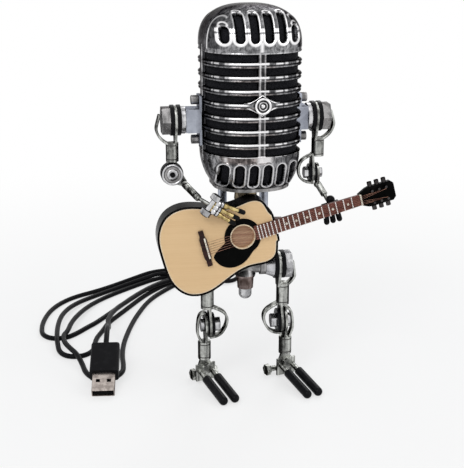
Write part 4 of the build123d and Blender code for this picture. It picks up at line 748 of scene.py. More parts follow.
def ridge_at(u, s):
    """Thin raised line that frames the panel beside the outer slots of the dome."""
    u = abs(u)
    if s < 179.2 or s > 201 or not 20 < u < 34:
        return 0.0
    if s < 190.0:
        off = abs(u - 30.8)
    else:
        off = abs(math.hypot(u - 24.0, s - 190.0) - 6.8)
    return max(0.0, 1 - (off / 0.75) ** 2) * ease((s - 179.2) / 0.8)


def hill(value, middle, half):
    """A round-topped rise of half width half about a middle."""
    off = abs(value - middle) / half
    return (1 - off * off) ** 2 if off < 1 else 0.0


# Middles and half widths, along the head, of the ribs' painted highlights.
PAINTED_HIGHLIGHT_SPANS = ((-26.0, 0.5), (-22.9, 1.5), (-17.4, 0.8), (-6.6, 9.8), (8.4, 1.9), (12.4, 0.9), (20.7, 1.2))


def worn_bright(u):
    """Where along a rib its upper bead carries a painted highlight."""
    return max(ease((half - abs(u - middle)) / 0.6 + 0.5) * (1.0 if half > 5 else 0.62)
               for middle, half in PAINTED_HIGHLIGHT_SPANS)


def rib_relief(u, s):
    """Relief and painted light of the ribs between the rows: a bead above with a painted highlight, a groove
    in painted shade, a duller warm-tinted bead below.
    """
    turn = ((ROW_MIDDLE - ROW_HALF - s) % ROW_PITCH) / (ROW_PITCH - 2 * ROW_HALF)
    upper, lower = hill(turn, 0.25, 0.27), hill(turn, 0.80, 0.19)
    height = 0.42 * upper + 0.26 * lower
    # The groove's near-black tone is painted shade.
    tone = 0.015 + 0.20 * upper + 0.30 * lower
    return height, tone, min(1.0, 1.25 * upper) * worn_bright(u), 0.75 * lower * ease((14 - abs(u + 4)) / 8)


def spine_relief(u, s, row):
    """Relief and painted light of the spine: two beads with painted highlights and a groove in painted shade,
    crossed by the ribs' beads.
    """
    height, tone, shine, warm = rib_relief(u, s)
    beads = max(hill(u, -1.15, 0.75), 0.75 * hill(u, 1.3, 0.55))
    if row:
        return 0.30 * beads, 0.05 + 0.42 * beads, 0.35 * beads ** 3, 0.15
    return max(height, 0.3 * beads), max(tone, 0.08 + 0.42 * beads), max(shine, 0.5 * beads), 0.1


def lip_relief(gap, s, x, centre, high):
    """Relief, painted highlights and painted shade of the lips round the dome's slots."""
    lip = ease(gap / 0.3) * ease((1.62 - gap) / 0.5)
    thin = hill(gap, 0.38, 0.42)
    if s < LIP_BREAK - 0.55:
        shine, tone = lip, 0.5
    elif s < LIP_BREAK + 0.55:
        shine, tone = 0.05 * lip, 0.28
    elif s < LIP_BREAK + 2.2:
        shine, tone = lip * 0.95, 0.45
    else:
        shine, tone = thin * (0.9 if x > centre or s > high - 1 else 0.25), 0.20
    # Over a slot's top end, a ring of painted highlight round painted shade.
    off = math.hypot(x - centre, s - high - 0.5)
    if s > high:
        shine = max(shine, hill(off, 1.75, 0.6))
        if off < 1.1:
            shine, tone = shine * 0.3, 0.06
    return 0.42 * lip, tone, shine


def relief(u, s, x, front):
    """Height of the shell's relief, and its tone with painted shade, its painted highlight and warmth, with
    the gap to the nearest slot.
    """
    gap = slot_gap(u, s, x, front)
    rim = sizes().rim_depth / MM
    # Inside a slot the turned-in rim is near black: painted shade.
    if gap < 0:
        return -rim * ease(-gap / 0.42), 0.03, 0.0, 0.0, gap
    side, height, shine, warm = abs(u), 0.0, 0.0, 0.0
    if s > ROW_MIDDLE + ROW_HALF:
        # The dome is darker up from its foot, and darker towards its sides, where the darkening is painted
        # shade.
        tone = 0.32 - 0.14 * ease((s - 181.5) / 3) - 0.04 * ease((side - 33) / 6)
        over = s - ROW_MIDDLE - ROW_HALF
        # A painted highlight along the top edge of the highest row.
        if over < 0.9:
            edge = hill(over, 0.35, 0.5)
            height, tone, shine = 0.25 * edge, 0.24 + 0.3 * edge, 0.3 * edge * worn_bright(u)
        # A painted highlight up the middle above the rows.
        if s < 183.5 and side < 2.4:
            shine = max(shine, 0.95 * hill(u, -0.2, 1.4) * ease((s - 178.6) / 0.4))
        if s > 181 and side < 26:
            n = min(range(6), key=lambda k: abs(x - SLOTS_X[k]))
            high = DOME_S_OUTER if n in (0, 5) else DOME_S_HIGH
            if gap < 1.62 or (s > high and gap < 3.2):
                lip_height, lip_tone, lip_painted_highlight = lip_relief(gap, s, x, SLOTS_X[n], high)
                height, tone, shine = max(height, lip_height), lip_tone, max(shine, lip_painted_highlight)
        if 21 < side < 31.5 and 180 < s < 199 and gap > 1.2:
            tone = 0.10
        # The ridge carries a painted highlight.
        ridge = ridge_at(u, s)
        height, shine = height + 0.30 * ridge, max(shine, ridge * (0.9 if s < 189 else 0.45))
        if s > DOME_S_HIGH + 3:
            tone = 0.22
    elif s < ROW_FOOT - 0.4:
        # Over the chin the tone waves across and is darker towards its sides, that darkening painted shade;
        # painted highlights lie above its slots.
        wave = 0.5 + 0.5 * math.sin(0.23 * u + 1.1)
        tone = 0.12 + 0.26 * wave - 0.08 * ease((side - 30) / 8)
        warm = 0.8 * ease((16 - abs(u + 8)) / 8) * ease((s - 124.5) / 2)
        if s > CHIN_S_HIGH + 1.2:
            shine = 0.7 * ease((5 - abs(u - 1.5)) / 3) + 0.5 * ease((1.5 - abs(u + 18)) / 1.5)
        # Lips round the chin's slots, with painted highlights.
        if gap < 1.5 and s < CHIN_S_HIGH + 2:
            lip = ease(gap / 0.3) * ease((1.5 - gap) / 0.5)
            height, tone = 0.42 * lip, 0.26
            shine = 0.72 * hill(gap, 0.5, 0.5)
        # Below its slots the chin is darker: painted shade on its underside.
        if s < CHIN_S_LOW:
            tone, shine = 0.13, shine * 0.6
        # A painted highlight along the chin's edge under the lowest row.
        over = ROW_FOOT - 0.4 - s
        if over < 0.9:
            edge = hill(over, 0.4, 0.5)
            height, shine = 0.3 * edge, max(shine, edge * worn_bright(u) * 0.8)
    else:
        row = abs(((ROW_MIDDLE - s + ROW_PITCH / 2) % ROW_PITCH) - ROW_PITCH / 2) < ROW_HALF
        if side < SPINE_HALF + 0.1:
            height, tone, shine, warm = spine_relief(u, s, row)
        elif side < SLOT_END:
            height, tone, shine, warm = rib_relief(u, s)
            if row:
                height, tone, shine, warm = 0.1, 0.25, 0.0, 0.0
        else:
            tone = 0.3
        # Round the badge the flare's rim carries a painted highlight.
        if front and side < 8.4 and abs(s - BADGE_Z) < 7:
            inner = flare_half(u) - abs(s - BADGE_Z)
            edge = hill(inner, 0.45, 0.55)
            reach = ease((7.8 - side) / 2.0)
            if inner > 0:
                deep = ease((inner - 0.8) / 1.2)
                height = height * (1 - reach) + reach * (0.5 * edge + 0.15 * deep)
                tone = tone * (1 - reach) + reach * (0.08 + 0.22 * deep)
                shine = shine * (1 - reach) + reach * edge * 0.95
    # The side band: a bead whose painted highlight beats with the rows, and a tone darkening towards the
    # outer edge, which is painted shade.
    if 118 < s < 181 and side > SLOT_END:
        bead = hill(side, SLOT_END + 0.75, 0.7)
        beat = 0.5 + 0.5 * math.sin((s - ROW_MIDDLE) * 2 * math.pi / ROW_PITCH + 0.8)
        fade = ease((s - 121) / 6)
        height = max(height, 0.35 * bead) + 0.3 * ease((side - SLOT_END - 0.9) / 0.6) * fade
        tone = 0.22 - 0.12 * ease((side - 39.8) / 0.8) + 0.2 * bead
        shine = bead ** 1.3 * (0.25 + 0.7 * ease((beat - 0.3) / 0.4)) * fade
    return height, tone, shine, warm, gap


def level_lines():
    """Ways up the head at which the shell's mesh has its rows of points."""
    lines = [CHIN_TOP - CHIN_WAY + CHIN_WAY * k / 90 for k in range(90)]
    first = ROW_MIDDLE - (ROWS - 1) * ROW_PITCH - ROW_HALF
    lines += [CHIN_TOP + (first - CHIN_TOP) * k / 6 for k in range(6)]
    for n in range(ROWS):
        foot = first + n * ROW_PITCH
        head = foot + 2 * ROW_HALF
        lines += [foot, foot + 0.12, foot + 0.27, foot + 0.45]
        if abs(foot + ROW_HALF - BADGE_Z) < 6:
            lines += [foot + 0.45 + (2 * ROW_HALF - 0.9) * k / 14 for k in range(1, 14)]
        else:
            lines.append((foot + head) / 2)
        lines += [head - 0.45, head - 0.27, head - 0.12]
        land = (DOME_FOOT + 0.6 if n == ROWS - 1 else foot + ROW_PITCH) - head
        count = round(land / 0.2)
        lines += [head + land * k / count for k in range(count)]
    start, count = DOME_FOOT + 0.6, 112
    lines += [start + (DOME_FOOT + DOME_WAY - start) * k / count for k in range(count + 1)]
    return lines


STEP = 0.02                                       # between places that tell which way is out


def make_shell(front):
    """One half of the head's shell with its slots, beads and rims."""
    lines = level_lines()
    columns, rows = 290, len(lines) - 1
    bm = bmesh.new()
    bmesh.ops.create_grid(bm, x_segments=columns, y_segments=rows, size=0.5)
    layers = [bm.verts.layers.float.new(name) for name in (*PAINT, "gap")]
    half = HALF_ROUND / 2
    facing = 1.0 if front else -1.0

    def base(u, s):
        share, z = level_at(s)
        x, y = outline_at(u)
        return Vector((facing * x * share, facing * y * share, z))

    for v in bm.verts:
        u = (v.co.x + 0.5) * 2 * half - half
        s = lines[min(max(round((v.co.y + 0.5) * rows), 0), rows)]
        here = base(u, s)
        step_s = STEP if s < DOME_FOOT + DOME_WAY - 0.05 else -STEP
        out = (base(u + STEP, s) - here).cross(base(u, s + step_s) - here)
        if out.length < 1e-12 or s > DOME_FOOT + DOME_WAY - 0.3:
            out = Vector((0, 0, 1))
        out.normalize()
        middle = Vector((here.x * 0.2, here.y * 0.2, min(here.z, 182.0)))
        if out.dot(here - middle) < 0:
            out = -out
        height, *paint = relief(u, s, here.x * facing, front)
        for layer, value in zip(layers, paint):
            v[layer] = value
        v.co = (here + out * height) * MM
    holes = [f for f in bm.faces if max(v[layers[-1]] for v in f.verts) < -0.26]
    bmesh.ops.delete(bm, geom=holes, context="FACES")
    bm.verts.layers.float.remove(bm.verts.layers.float["gap"])
    bmesh.ops.remove_doubles(bm, verts=bm.verts, dist=2e-6)
    bmesh.ops.recalc_face_normals(bm, faces=bm.faces)
    outward = sum(f.normal.dot(f.calc_center_median() - Vector((0, 0, 0.155))) for f in list(bm.faces)[::97])
    if outward < 0:
        bmesh.ops.reverse_faces(bm, faces=bm.faces)
    bmesh.ops.transform(bm, matrix=HEAD_SEAT, verts=bm.verts)
    return bm


# The cord's tie in millimetres: its near side, its width, its middle's way back and up, its two radii.
TIE_SIDE, TIE_WIDTH, TIE_BACK, TIE_UP, TIE_REACH, TIE_RISE = -14.4, 4.8, 158.3, 4.5, 5.6, 4.4
TIE_LOW = 0.35                                    # the lowest that it sags to


class RobotLampCord(bpy.types.Operator):
    """Lays the USB cord: out of the gland, round the turns of its hank and into the plug"""

    bl_idname = "robot_lamp.cord"
    bl_label = "Cord"

    def execute(self, context):
        size = sizes()
        data = bpy.data.curves.new("usb_cord", "CURVE")
        data.dimensions = "3D"
        route = LEAD + HANK + TAIL
        spline = data.splines.new("NURBS")
        spline.points.add(len(route) - 1)
        for point, place in zip(spline.points, route):
            point.co = (*(AXIS + place), 1.0)
        spline.order_u = 3
        spline.use_endpoint_u = True
        spline.resolution_u = 8
        data.bevel_depth = size.cord_diameter / 2
        data.bevel_resolution = 5
        data.use_fill_caps = True
        cord = add_piece("usb_cord", data, ["cord_black"], "pelvis", "cord_black",
                         "cord_lead", "cord_hank", "cord_tail")

        bm = bmesh.new()
        bmesh.ops.create_circle(bm, radius=1.0, segments=56)
        grown = bmesh.ops.extrude_edge_only(bm, edges=list(bm.edges))["geom"]
        bmesh.ops.translate(bm, verts=points_of(grown), vec=(0, 0, 1))
        for v in bm.verts:
            turn = math.atan2(v.co.y, v.co.x)
            wobble = 1 + 0.03 * math.sin(3 * turn + 0.6)
            v.co = spot(TIE_SIDE + TIE_WIDTH * v.co.z, TIE_BACK + TIE_REACH * wobble * math.cos(turn),
                        max(TIE_LOW, TIE_UP + TIE_RISE * wobble * math.sin(turn)))
        bmesh.ops.recalc_face_normals(bm, faces=bm.faces)
        bmesh.ops.solidify(bm, geom=bm.faces, thickness=0.0005)
        bmesh.ops.recalc_face_normals(bm, faces=bm.faces)
        tie = add_piece("cord_tie", bm, ["black_plastic"], "pelvis", "black_plastic")
        return {"FINISHED"}


BADGE = (
    (0.0, 2.05), (0.5, 2.0), (0.95, 1.78), (1.15, 1.45), (1.5, 1.42), (1.65, 1.75), (1.95, 1.9),
    (2.25, 1.75), (2.4, 1.4), (2.75, 1.38), (2.9, 1.75), (3.2, 2.15), (3.6, 2.3), (3.95, 2.15),
    (4.05, 1.8), (4.05, 0.0), (0.0, 0.0),
)


class RobotLampHead(bpy.types.Operator):
    """Makes both halves of the microphone head's shell and its badge"""

    bl_idname = "robot_lamp.head"
    bl_label = "Head shell"

    def execute(self, context):
        for name, node, front in (("shell_front", "head_front_shell", True),
                                  ("shell_rear", "head_rear_shell", False)):
            add_piece(name, make_shell(front), ["head"], "upper_body", "tinned_metal", node, smooth=None)
        seat = HEAD_SEAT @ Matrix.Translation(Vector((0, -26.2, BADGE_Z)) * MM)
        axis = HEAD_SEAT.to_3x3() @ Vector((0, -1, 0))
        bm = lathe(BADGE, seat.translation, axis, 72)
        layers = [bm.verts.layers.float.new(name) for name in PAINT]
        for vert in bm.verts:
            # The badge's raised rings get a lighter tone and a painted highlight, its hollows painted shade.
            height = (vert.co - seat.translation).dot(axis) / MM
            wear_and_painted_light = ease((height - 1.55) / 0.5)
            vert[layers[0]], vert[layers[1]], vert[layers[2]] = 0.05 + 0.5 * wear_and_painted_light, 0.85 * wear_and_painted_light ** 2, 0.1
        add_piece("round_badge", bm, ["head"], "upper_body", "chrome_metal", "head_badge", smooth=60.0)
        return {"FINISHED"}


# ------------------------------------------------------------------ guitar
GUITAR = Matrix((
    (math.cos(GUITAR_TILT), -math.sin(GUITAR_TILT), 0.0, 0.0),
    (0.0, 0.0, -1.0, 0.0),
    (math.sin(GUITAR_TILT), math.cos(GUITAR_TILT), 0.0, 0.0),
    (0.0, 0.0, 0.0, 1.0)))
GUITAR.translation = spot(-5.6, -22.5, 88.1)
NUT_U, BOARD_U, SADDLE_U = 62.0, 6.4, -18.8
BOARD_TOP = 1.0
JOINT_U = 15.5                                    # where the soundboard meets the neck
HOLE_REACH = 8.0                                  # round the hole the wood is the soundboard's own


def neck_width(u):
    return 7.4 + (5.6 - 7.4) * (u - BOARD_U) / (NUT_U - BOARD_U)


def guitar_at(u, v, w):
    """A place in the guitar's own plane, in millimetres: along the neck, across it, out of the top."""
    return GUITAR @ (Vector((u, v, w)) * MM)


def bar(bm, u, half, wide, low, tall):
    """A half-round bar across the neck."""
    made = bmesh.ops.create_cone(bm, cap_ends=True, segments=12, radius1=0.5, radius2=0.5, depth=1.0)
    for v in made["verts"]:
        across, up = v.co.x * wide, (v.co.y + 0.5) * tall
        v.co = guitar_at(u + across, v.co.z * 2 * half, low + up)


def guard_swell(here):
    """How far the pickguard's outline reaches past its ring, as a share, by its way round the hole."""
    turn = math.degrees(math.atan2(here.y, here.x))
    return 1 + 0.97 * hill(turn, -148, 82) * ease((turn + 179) / 20)


class RobotLampGuitar(bpy.types.Operator):
    """Makes the guitar's bound soundboard, rosette, sound hole, frets, dots and black headstock"""

    bl_idname = "robot_lamp.guitar"
    bl_label = "Guitar"

    def execute(self, context):
        size = sizes()
        hole, out = guitar_at(0, 0, 0), (0, -1, 0)
        bm = copied("guitar_top")
        joint = [v for v in bm.verts if (GUITAR.inverted() @ v.co).x > JOINT_U * MM]
        bmesh.ops.remove_doubles(bm, verts=joint, dist=0.0011)
        bmesh.ops.remove_doubles(bm, verts=bm.verts, dist=0.0002)
        bm.normal_update()
        for face in bm.faces:
            face.material_index = 0 if face.normal.y < -0.9 else 1
        for index, width in ((1, size.binding_width), (2, 0.0004), (3, 0.0001)):
            faces = [f for f in bm.faces if f.normal.y < -0.9 and f.material_index in (0, 3)]
            for face in faces:
                face.material_index = 0
            ring = bmesh.ops.inset_region(bm, faces=faces, thickness=width, use_even_offset=False,
                                          use_boundary=True)
            for face in ring["faces"]:
                face.material_index = index
        for face in bm.faces:
            if (face.calc_center_median() - hole).length < HOLE_REACH * MM:
                face.material_index = 3
        add_piece("soundboard", bm, ["spruce", "guitar_black", "purfling", "spruce"], "upper_body",
                  "spruce", "guitar_top")

        ring = lathe(((5.86, -0.5), (5.86, 0.40), (6.0, 0.46), (6.3, 0.46), (6.42, 0.40), (6.42, 0.0)),
                     hole, out, 96)
        add_piece("rosette", ring, ["purfling"], "upper_body", "bone")

        guard = lathe(((6.3, 0.0), (6.3, 0.35), (9.2, 0.35), (9.3, 0.25), (9.3, 0.0)), hole, out, 144)
        for vert in guard.verts:
            here = GUITAR.inverted() @ vert.co / MM
            if here.xy.length > 9:
                swell = guard_swell(here)
                vert.co = guitar_at(here.x * swell, here.y * swell, here.z)
        add_piece("pickguard", guard, ["pickguard"], "upper_body", "pickguard", "guitar_pickguard")

        floor = lathe(((0.0, -1.35), (3.0, -1.35), (5.9, -1.35)), hole, out, 72)
        if floor.faces[:][0].normal.y > 0:
            bmesh.ops.reverse_faces(floor, faces=floor.faces)
        add_piece("hole_back", floor, ["hole_wood"], "upper_body", "neck_wood")

        wires = copied("guitar_strings")
        wires.normal_update()
        for vert in wires.verts:
            vert.co -= vert.normal * 0.08 * MM
        add_piece("strings", wires, ["bronze"], "upper_body", "nickel", "guitar_strings", smooth=60.0)

        frets = bmesh.new()
        length = NUT_U - SADDLE_U
        places = [NUT_U - length * (1 - 2 ** (-n / 12)) for n in range(1, size.fret_count + 1)]
        for u in places:
            if u > BOARD_U + 0.8:
                bar(frets, u, neck_width(u) / 2 + 0.02, 0.74, BOARD_TOP - 0.12, 0.74)
        add_piece("fret_wires", frets, ["fret_metal"], "upper_body", "nickel")

        dots = bmesh.new()
        edges = [NUT_U] + places
        for n in (2, 4, 6, 8, 10, 12):
            middle = (edges[n - 1] + edges[n]) / 2
            made = bmesh.ops.create_cone(dots, cap_ends=True, segments=20, radius1=0.66, radius2=0.56,
                                         depth=0.16)
            for vert in made["verts"]:
                vert.co = guitar_at(middle + vert.co.x, vert.co.y, BOARD_TOP + vert.co.z + 0.05)
        add_piece("fret_dots", dots, ["bone"], "upper_body", "bone")

        bm = copied("guitar_neck")
        soften_edges(bm, 0.0005)
        for face in bm.faces:
            middle = GUITAR.inverted() @ face.calc_center_median()
            face.material_index = 1 if middle.x > (NUT_U - 0.2) * MM else 0
        add_piece("neck", bm, ["neck_wood", "guitar_black"], "upper_body", "neck_wood", "guitar_neck",
                  smooth=50.0)
        return {"FINISHED"}


class RobotLampFittings(bpy.types.Operator):
    """Breaks the sharp edges of the lugs, bolts, brackets, feet and plug"""

    bl_idname = "robot_lamp.fittings"
    bl_label = "Fittings"

    def execute(self, context):
        width = sizes().edge_break
        for _, (node, name, slot, *finish) in sided(SOFTENED):
            soften(node, name, slot, width, *finish)
        return {"FINISHED"}


class RobotLampElbow(bpy.types.Operator):
    """Turns the right elbow's cupped bolt and its nut"""

    bl_idname = "robot_lamp.elbow"
    bl_label = "Right elbow"

    def execute(self, context):
        bm = bmesh.new()
        for profile, steps, finish in ELBOW:
            lathe(profile, spot(*ELBOW_PLACE), (0, -1, 0), steps, bm, finish)
        # Black rubber in the bolt's socket and grey metal in its groove are painted shade.
        add_piece("right_elbow_cup", bm, ["chrome_metal", "black_rubber", "grey_metal"],
                  body_of("right_elbow_bolt"), "chrome_metal", "right_elbow_bolt", smooth=40.0)
        return {"FINISHED"}


class RobotLampCollars(bpy.types.Operator):
    """Puts the collars and rings on the right hand's fingers and their bar"""

    bl_idname = "robot_lamp.collars"
    bl_label = "Finger collars"

    def execute(self, context):
        bm = bmesh.new()
        low, high = (Vector(place) for place in FINGER_BAR)
        for n, tip in enumerate(FINGER_TIPS):
            root = low + (high - low) * ((n + 0.5) / 3)
            way = (Vector(tip) - root).normalized()
            for outer, start, end, finish in COLLARS:
                band(bm, spot(*root), way, 0.8, outer, start, end, finish)
        along = (high - low).normalized()
        for place, sign in ((low, -1), (high, 1)):
            band(bm, spot(*place), along * sign, 1.0, 2.35, -0.25, 0.45, 1)
            band(bm, spot(*place), along * sign, 0.8, 1.9, 2.6, 3.0, 1)
        add_piece("finger_collars", bm, ["chrome_metal", "black_rubber"], body_of("right_fingers"),
                  "chrome_metal", smooth=40.0)
        return {"FINISHED"}


class RobotLampCheeks(bpy.types.Operator):
    """Closes the sides of the shoulder brackets with their cheeks"""

    bl_idname = "robot_lamp.cheeks"
    bl_label = "Bracket cheeks"

    def execute(self, context):
        for sign, side in zip((-1, 1), SIDES):
            bm = bmesh.new()
            for y in (-CHEEK_Y, CHEEK_Y):
                made = bmesh.ops.create_cube(bm, size=1.0)["verts"]
                place = Matrix.Translation(spot(sign * CHEEK_X, y, CHEEK_Z))
                bmesh.ops.transform(bm, verts=made, matrix=place @ Matrix.Diagonal(
                    (*(size * MM for size in CHEEK_SIZE), 1.0)))
            through = [e for e in bm.edges if abs((e.verts[0].co - e.verts[1].co).y) > 0.5 * MM]
            bevel(bm, through, CHEEK_ROUND * MM, 5)
            add_piece(side + "_bracket_cheeks", bm, ["bracket_blue"], body_of("shoulder_brackets"),
                      "tinned_metal", smooth=40.0)
        return {"FINISHED"}


class RobotLampBands(bpy.types.Operator):
    """Puts the dark crimp bands on the lugs' barrels"""

    bl_idname = "robot_lamp.bands"
    bl_label = "Crimp bands"

    def execute(self, context):
        for side, (node, low, high, radius) in sided(BARRELS):
            mirror = Vector((-1 if side == "right" else 1, 1, 1))
            low, high = Vector(low) * mirror, Vector(high) * mirror
            way = high - low
            bm = bmesh.new()
            for start, end in BAND_SHARES:
                band(bm, spot(*low), way.normalized(), radius * 0.9, radius + 0.05, start * way.length,
                     end * way.length)
            add_piece(node + "_bands", bm, ["smoked_metal"], body_of(node), "zinc_metal", smooth=40.0)
        return {"FINISHED"}


# The cheeks of the shoulder brackets in millimetres: middle, size and rounding.
CHEEK_X, CHEEK_Y, CHEEK_Z = 27.15, 5.25, 143.5
CHEEK_SIZE, CHEEK_ROUND = (7.7, 0.8, 11.7), 1.2
BAND_SHARES = ((0.10, 0.17), (0.84, 0.91))        # where along a barrel its bands start and end
# The bar across the right hand's fingers, their tips, and the collars on each: radius, start, end, finish.
FINGER_BAR = ((-24.0, -26.6, 103.6), (-20.4, -26.6, 108.6))
FINGER_TIPS = ((-10.9, -26.0, 96.3), (-9.0, -26.4, 98.9), (-6.2, -26.6, 101.8))
COLLARS = ((1.75, 1.3, 3.6, 0), (1.5, 3.6, 4.1, 1), (1.6, 4.1, 5.2, 0), (1.42, 5.2, 5.6, 1))
# The turned parts of the right elbow: profile, steps round the axis, finish.
ELBOW_PLACE = (-38, -4.5, 116.5)
# Finish 1 in the hex socket and finish 2 in the groove are painted shade.
ELBOW = (
    (((0.0, -0.8), (1.35, -0.8), (1.35, -0.1)), 6, 1),
    (((1.35, -0.1), (1.6, 0.0), (2.5, 0.0), (2.75, -0.2)), 48, 0),
    (((2.75, -0.2), (3.1, -0.6), (4.0, -0.6), (4.3, -0.25)), 48, 2),
    (((4.3, -0.25), (4.6, 0.0), (5.05, 0.0), (5.4, -0.3), (5.4, -1.2), (1.44, -1.2), (1.44, -8.9),
      (0.0, -8.9)), 48, 0),
    (((0.0, -8.9), (2.9, -8.9), (3.1, -8.6), (3.1, -6.6), (1.44, -6.5)), 6, 0),
)
# The straps of each lug: the width, and the way as places across and up, for the robot's left side.
STRAPS = {
    "upper_arm": ((4.6, ((38.2, 131.1), (42.5, 132.9), (45.8, 138.5), (44.9, 142.5), (43.7, 146.5))),),
    "left_upper_arm": ((3.22, ((35.1, 123.7), (29.8, 121.9), (27.2, 117.2), (28.2, 111.35), (32.2, 108.75),
                               (34.92, 108.75))),),
    "thigh": ((4.6, ((22.0, 52.8), (26.8, 56.8), (26.3, 60.7), (25.4, 66.7))),
              (4.6, ((19.3, 43.6), (14.8, 42.0), (9.6, 38.0), (10.4, 31.4), (14.6, 26.0), (19.42, 26.0)))),
    "shin": ((4.6, ((23.4, 22.6), (25.6, 26.6), (26.0, 30.8), (25.3, 37.4), (23.6, 40.0), (21.48, 40.0))),),
}
# A lug's node, its barrel's foot and top on the left side where there are two, and the barrel's radius.
BARRELS = (
    ("{}_upper_arm", (37.6, 0, 122.8), (37.6, 0, 132.3), 3.2),
    ("{}_thigh", (20.4, 0, 42.4), (20.4, 0, 54.2), 3.45),
    ("{}_shin", (22.2, 0, 13.8), (22.2, 0, 23.6), 3.45),
    ("right_forearm", (-32.3, -6.8, 112.0), (-27.6, -21.0, 108.6), 1.75),
)
# A CAD node, the piece that stands for it, its slot, and its finish where that isn't the slot's own.
SOFTENED = (
    ("shoulder_brackets", "hat_brackets", "tinned_metal", "bracket_blue"),
    ("shoulder_bolts", "shoulder_hexes", "chrome_metal", "grey_metal"),
    ("hip_bolts", "hip_hexes", "chrome_metal"), ("hip_cups", "hip_cones", "tinned_metal"),
    ("pelvis_tee", "pipe_tee", "tinned_metal", "grey_metal"), ("torso_plate", "waist_plate", "tinned_metal"),
    ("{}_upper_arm", "{}_arm_lug", "zinc_metal"), ("{}_forearm", "{}_wrist_lug", "zinc_metal"),
    ("{}_thigh", "{}_thigh_lug", "zinc_metal"), ("{}_shin", "{}_shin_lug", "zinc_metal"),
    ("{}_foot", "{}_foot_frame", "zinc_metal"), ("{}_knee_bolt", "{}_knee_hex", "chrome_metal"),
    ("left_elbow_bolt", "left_elbow_hex", "chrome_metal"),
    ("right_palm", "right_palm_nuts", "chrome_metal"), ("left_palm", "left_palm_block", "black_rubber"),
    ("neck_collar", "collar", "aged_brass"),
    ("switch_housing", "switch_body", "aged_brass", "switch_bronze"),
    ("usb_plug_body", "usb_plug", "black_plastic"), ("usb_plug_shell", "plug_shell", "nickel"),
    ("cord_gland", "strain_relief", "black_plastic"), ("guitar_bridge", "bridge", "rosewood", "ebony"),
    ("guitar_fretboard", "fretboard", "rosewood"),
    ("shoulder_spacers", "spacers", "black_rubber", "chrome_metal"),
    ("{}_arm_washers", "{}_arm_rings", "black_rubber"), ("{}_leg_washers", "{}_leg_rings", "black_rubber"),
)


class RobotLampFinishes(bpy.types.Operator):
    """Gives every carried-over solid its finish"""

    bl_idname = "robot_lamp.finishes"
    bl_label = "Finishes"

    def execute(self, context):
        for node in frame["nodes"].values():
            for place in node.material_slots:
                place.material = finish_of(place.material.name.split(".")[0])
        for name, finish in (("guitar_tuners", "smoked_metal"), ("guitar_strings", "bronze"),
                             ("torso_posts", "bracket_blue"), ("head_base_plate", "grey_metal")):
            frame["nodes"][name].material_slots[0].material = finish_of(finish)
        return {"FINISHED"}


# A lamp's name, place, width and power.
LAMPS = (
    ("key", (-0.45, -0.60, 0.75), 0.40, 2.6), ("fill", (0.60, -0.45, 0.35), 0.45, 0.9),
    ("rim", (0.25, 0.65, 0.60), 0.35, 1.4), ("top", (0.0, -0.2, 0.85), 0.45, 0.7),
)


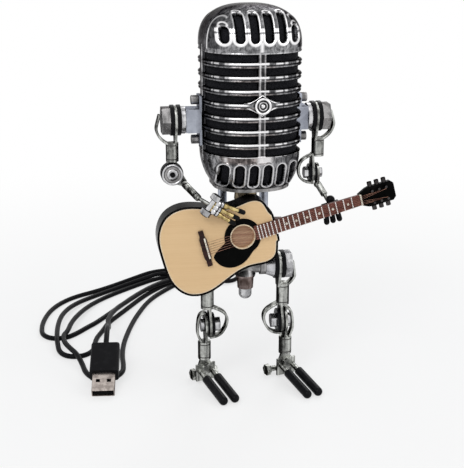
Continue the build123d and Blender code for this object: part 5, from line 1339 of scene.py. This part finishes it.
class RobotLampStage(bpy.types.Operator):
    """Sets the pale floor, the soft lamps and the camera"""

    bl_idname = "robot_lamp.stage"
    bl_label = "Stage"

    def execute(self, context):
        bm = bmesh.new()
        bmesh.ops.create_grid(bm, x_segments=2, y_segments=2, size=40.0)
        data = bpy.data.meshes.new("floor")
        bm.to_mesh(data)
        bm.free()
        floor = add_object("floor", data)
        paper = Finish("paper_floor", {"Roughness": 0.9, "Specular IOR Level": 0.0})
        paper.feed({"Base Color": paper.mix(paper.noise(9.0), (0.88, 0.88, 0.88), (0.92, 0.92, 0.92))})
        away = paper.node("ShaderNodeVectorMath", {"operation": "LENGTH"}, {0: paper.place}, "Value")
        white = paper.node("ShaderNodeEmission", None, {"Color": (1.0, 1.0, 1.0)})
        blend = paper.node("ShaderNodeMixShader", None, {
            0: paper.seen() * away.span(0.10, 0.55, 0.62, 1.0), 1: Value(paper, paper.shader.outputs[0]),
            2: white})
        paper.tree.links.new(blend.socket, paper.tree.nodes["Material Output"].inputs["Surface"])
        data.materials.append(paper.material)

        world = bpy.data.worlds.new("soft_studio")
        context.scene.world = world
        world.use_nodes = True
        sky = Nodes(world.node_tree)
        sky.tree.nodes.clear()
        dim, plain = (sky.node("ShaderNodeBackground", None, {"Color": colour, "Strength": strength})
                      for colour, strength in (((0.96, 0.98, 1.0), 0.55), ((1.0, 1.0, 1.0), 1.0)))
        pick = sky.node("ShaderNodeMixShader", None, {0: sky.seen(), 1: dim, 2: plain})
        out = sky.tree.nodes.new("ShaderNodeOutputWorld")
        sky.tree.links.new(pick.socket, out.inputs["Surface"])

        for name, place, width, power in LAMPS:
            lamp = bpy.data.lights.new(name, "AREA")
            lamp.size, lamp.energy = width, power
            holder = add_object(name, lamp)
            holder.location = place
            aim = Vector((0, 0, 0.1)) - holder.location
            holder.rotation_euler = aim.to_track_quat("-Z", "Y").to_euler()

        view = bpy.data.cameras.new("camera")
        view.lens, view.sensor_width, view.sensor_fit = 74.0, 36.0, "AUTO"
        camera = add_object("camera", view)
        camera.location = spot(-90.24, -471.49, 230.0)
        camera.rotation_euler = (math.radians(72.9), 0.0, math.radians(-10.0))
        context.scene.camera = camera
        context.scene.view_settings.view_transform = "Standard"
        return {"FINISHED"}


class ROBOTLAMP_PT_panel(bpy.types.Panel):
    """Lists the lamp's pieces"""

    bl_label = "Robot Lamp"
    bl_idname = "ROBOTLAMP_PT_panel"
    bl_space_type = "VIEW_3D"
    bl_region_type = "UI"
    bl_category = "Robot Lamp"

    def draw(self, context):
        for group in (context.scene.robot_lamp_sizes, context.scene.robot_lamp_colours):
            for name in group.bl_rna.properties.keys():
                if name not in ("rna_type", "name"):
                    self.layout.prop(group, name)
        for operator in OPERATORS:
            self.layout.operator(operator.bl_idname)


OPERATORS = (RobotLampStage, RobotLampFinishes, RobotLampFittings, RobotLampElbow, RobotLampCollars,
             RobotLampCheeks, RobotLampBands, RobotLampCord, RobotLampHead, RobotLampGuitar)
CLASSES = (RobotLampSizes, RobotLampColours, *OPERATORS, ROBOTLAMP_PT_panel)


def register():
    for item in CLASSES:
        bpy.utils.register_class(item)
    bpy.types.Scene.robot_lamp_sizes = PointerProperty(type=RobotLampSizes)
    bpy.types.Scene.robot_lamp_colours = PointerProperty(type=RobotLampColours)


def unregister():
    del bpy.types.Scene.robot_lamp_colours
    del bpy.types.Scene.robot_lamp_sizes
    for item in reversed(CLASSES):
        bpy.utils.unregister_class(item)


def main():
    """Makes every piece in order."""
    register()
    for operator in OPERATORS:
        group, name = operator.bl_idname.split(".")
        getattr(getattr(bpy.ops, group), name)()


if __name__ == "__main__":
    main()
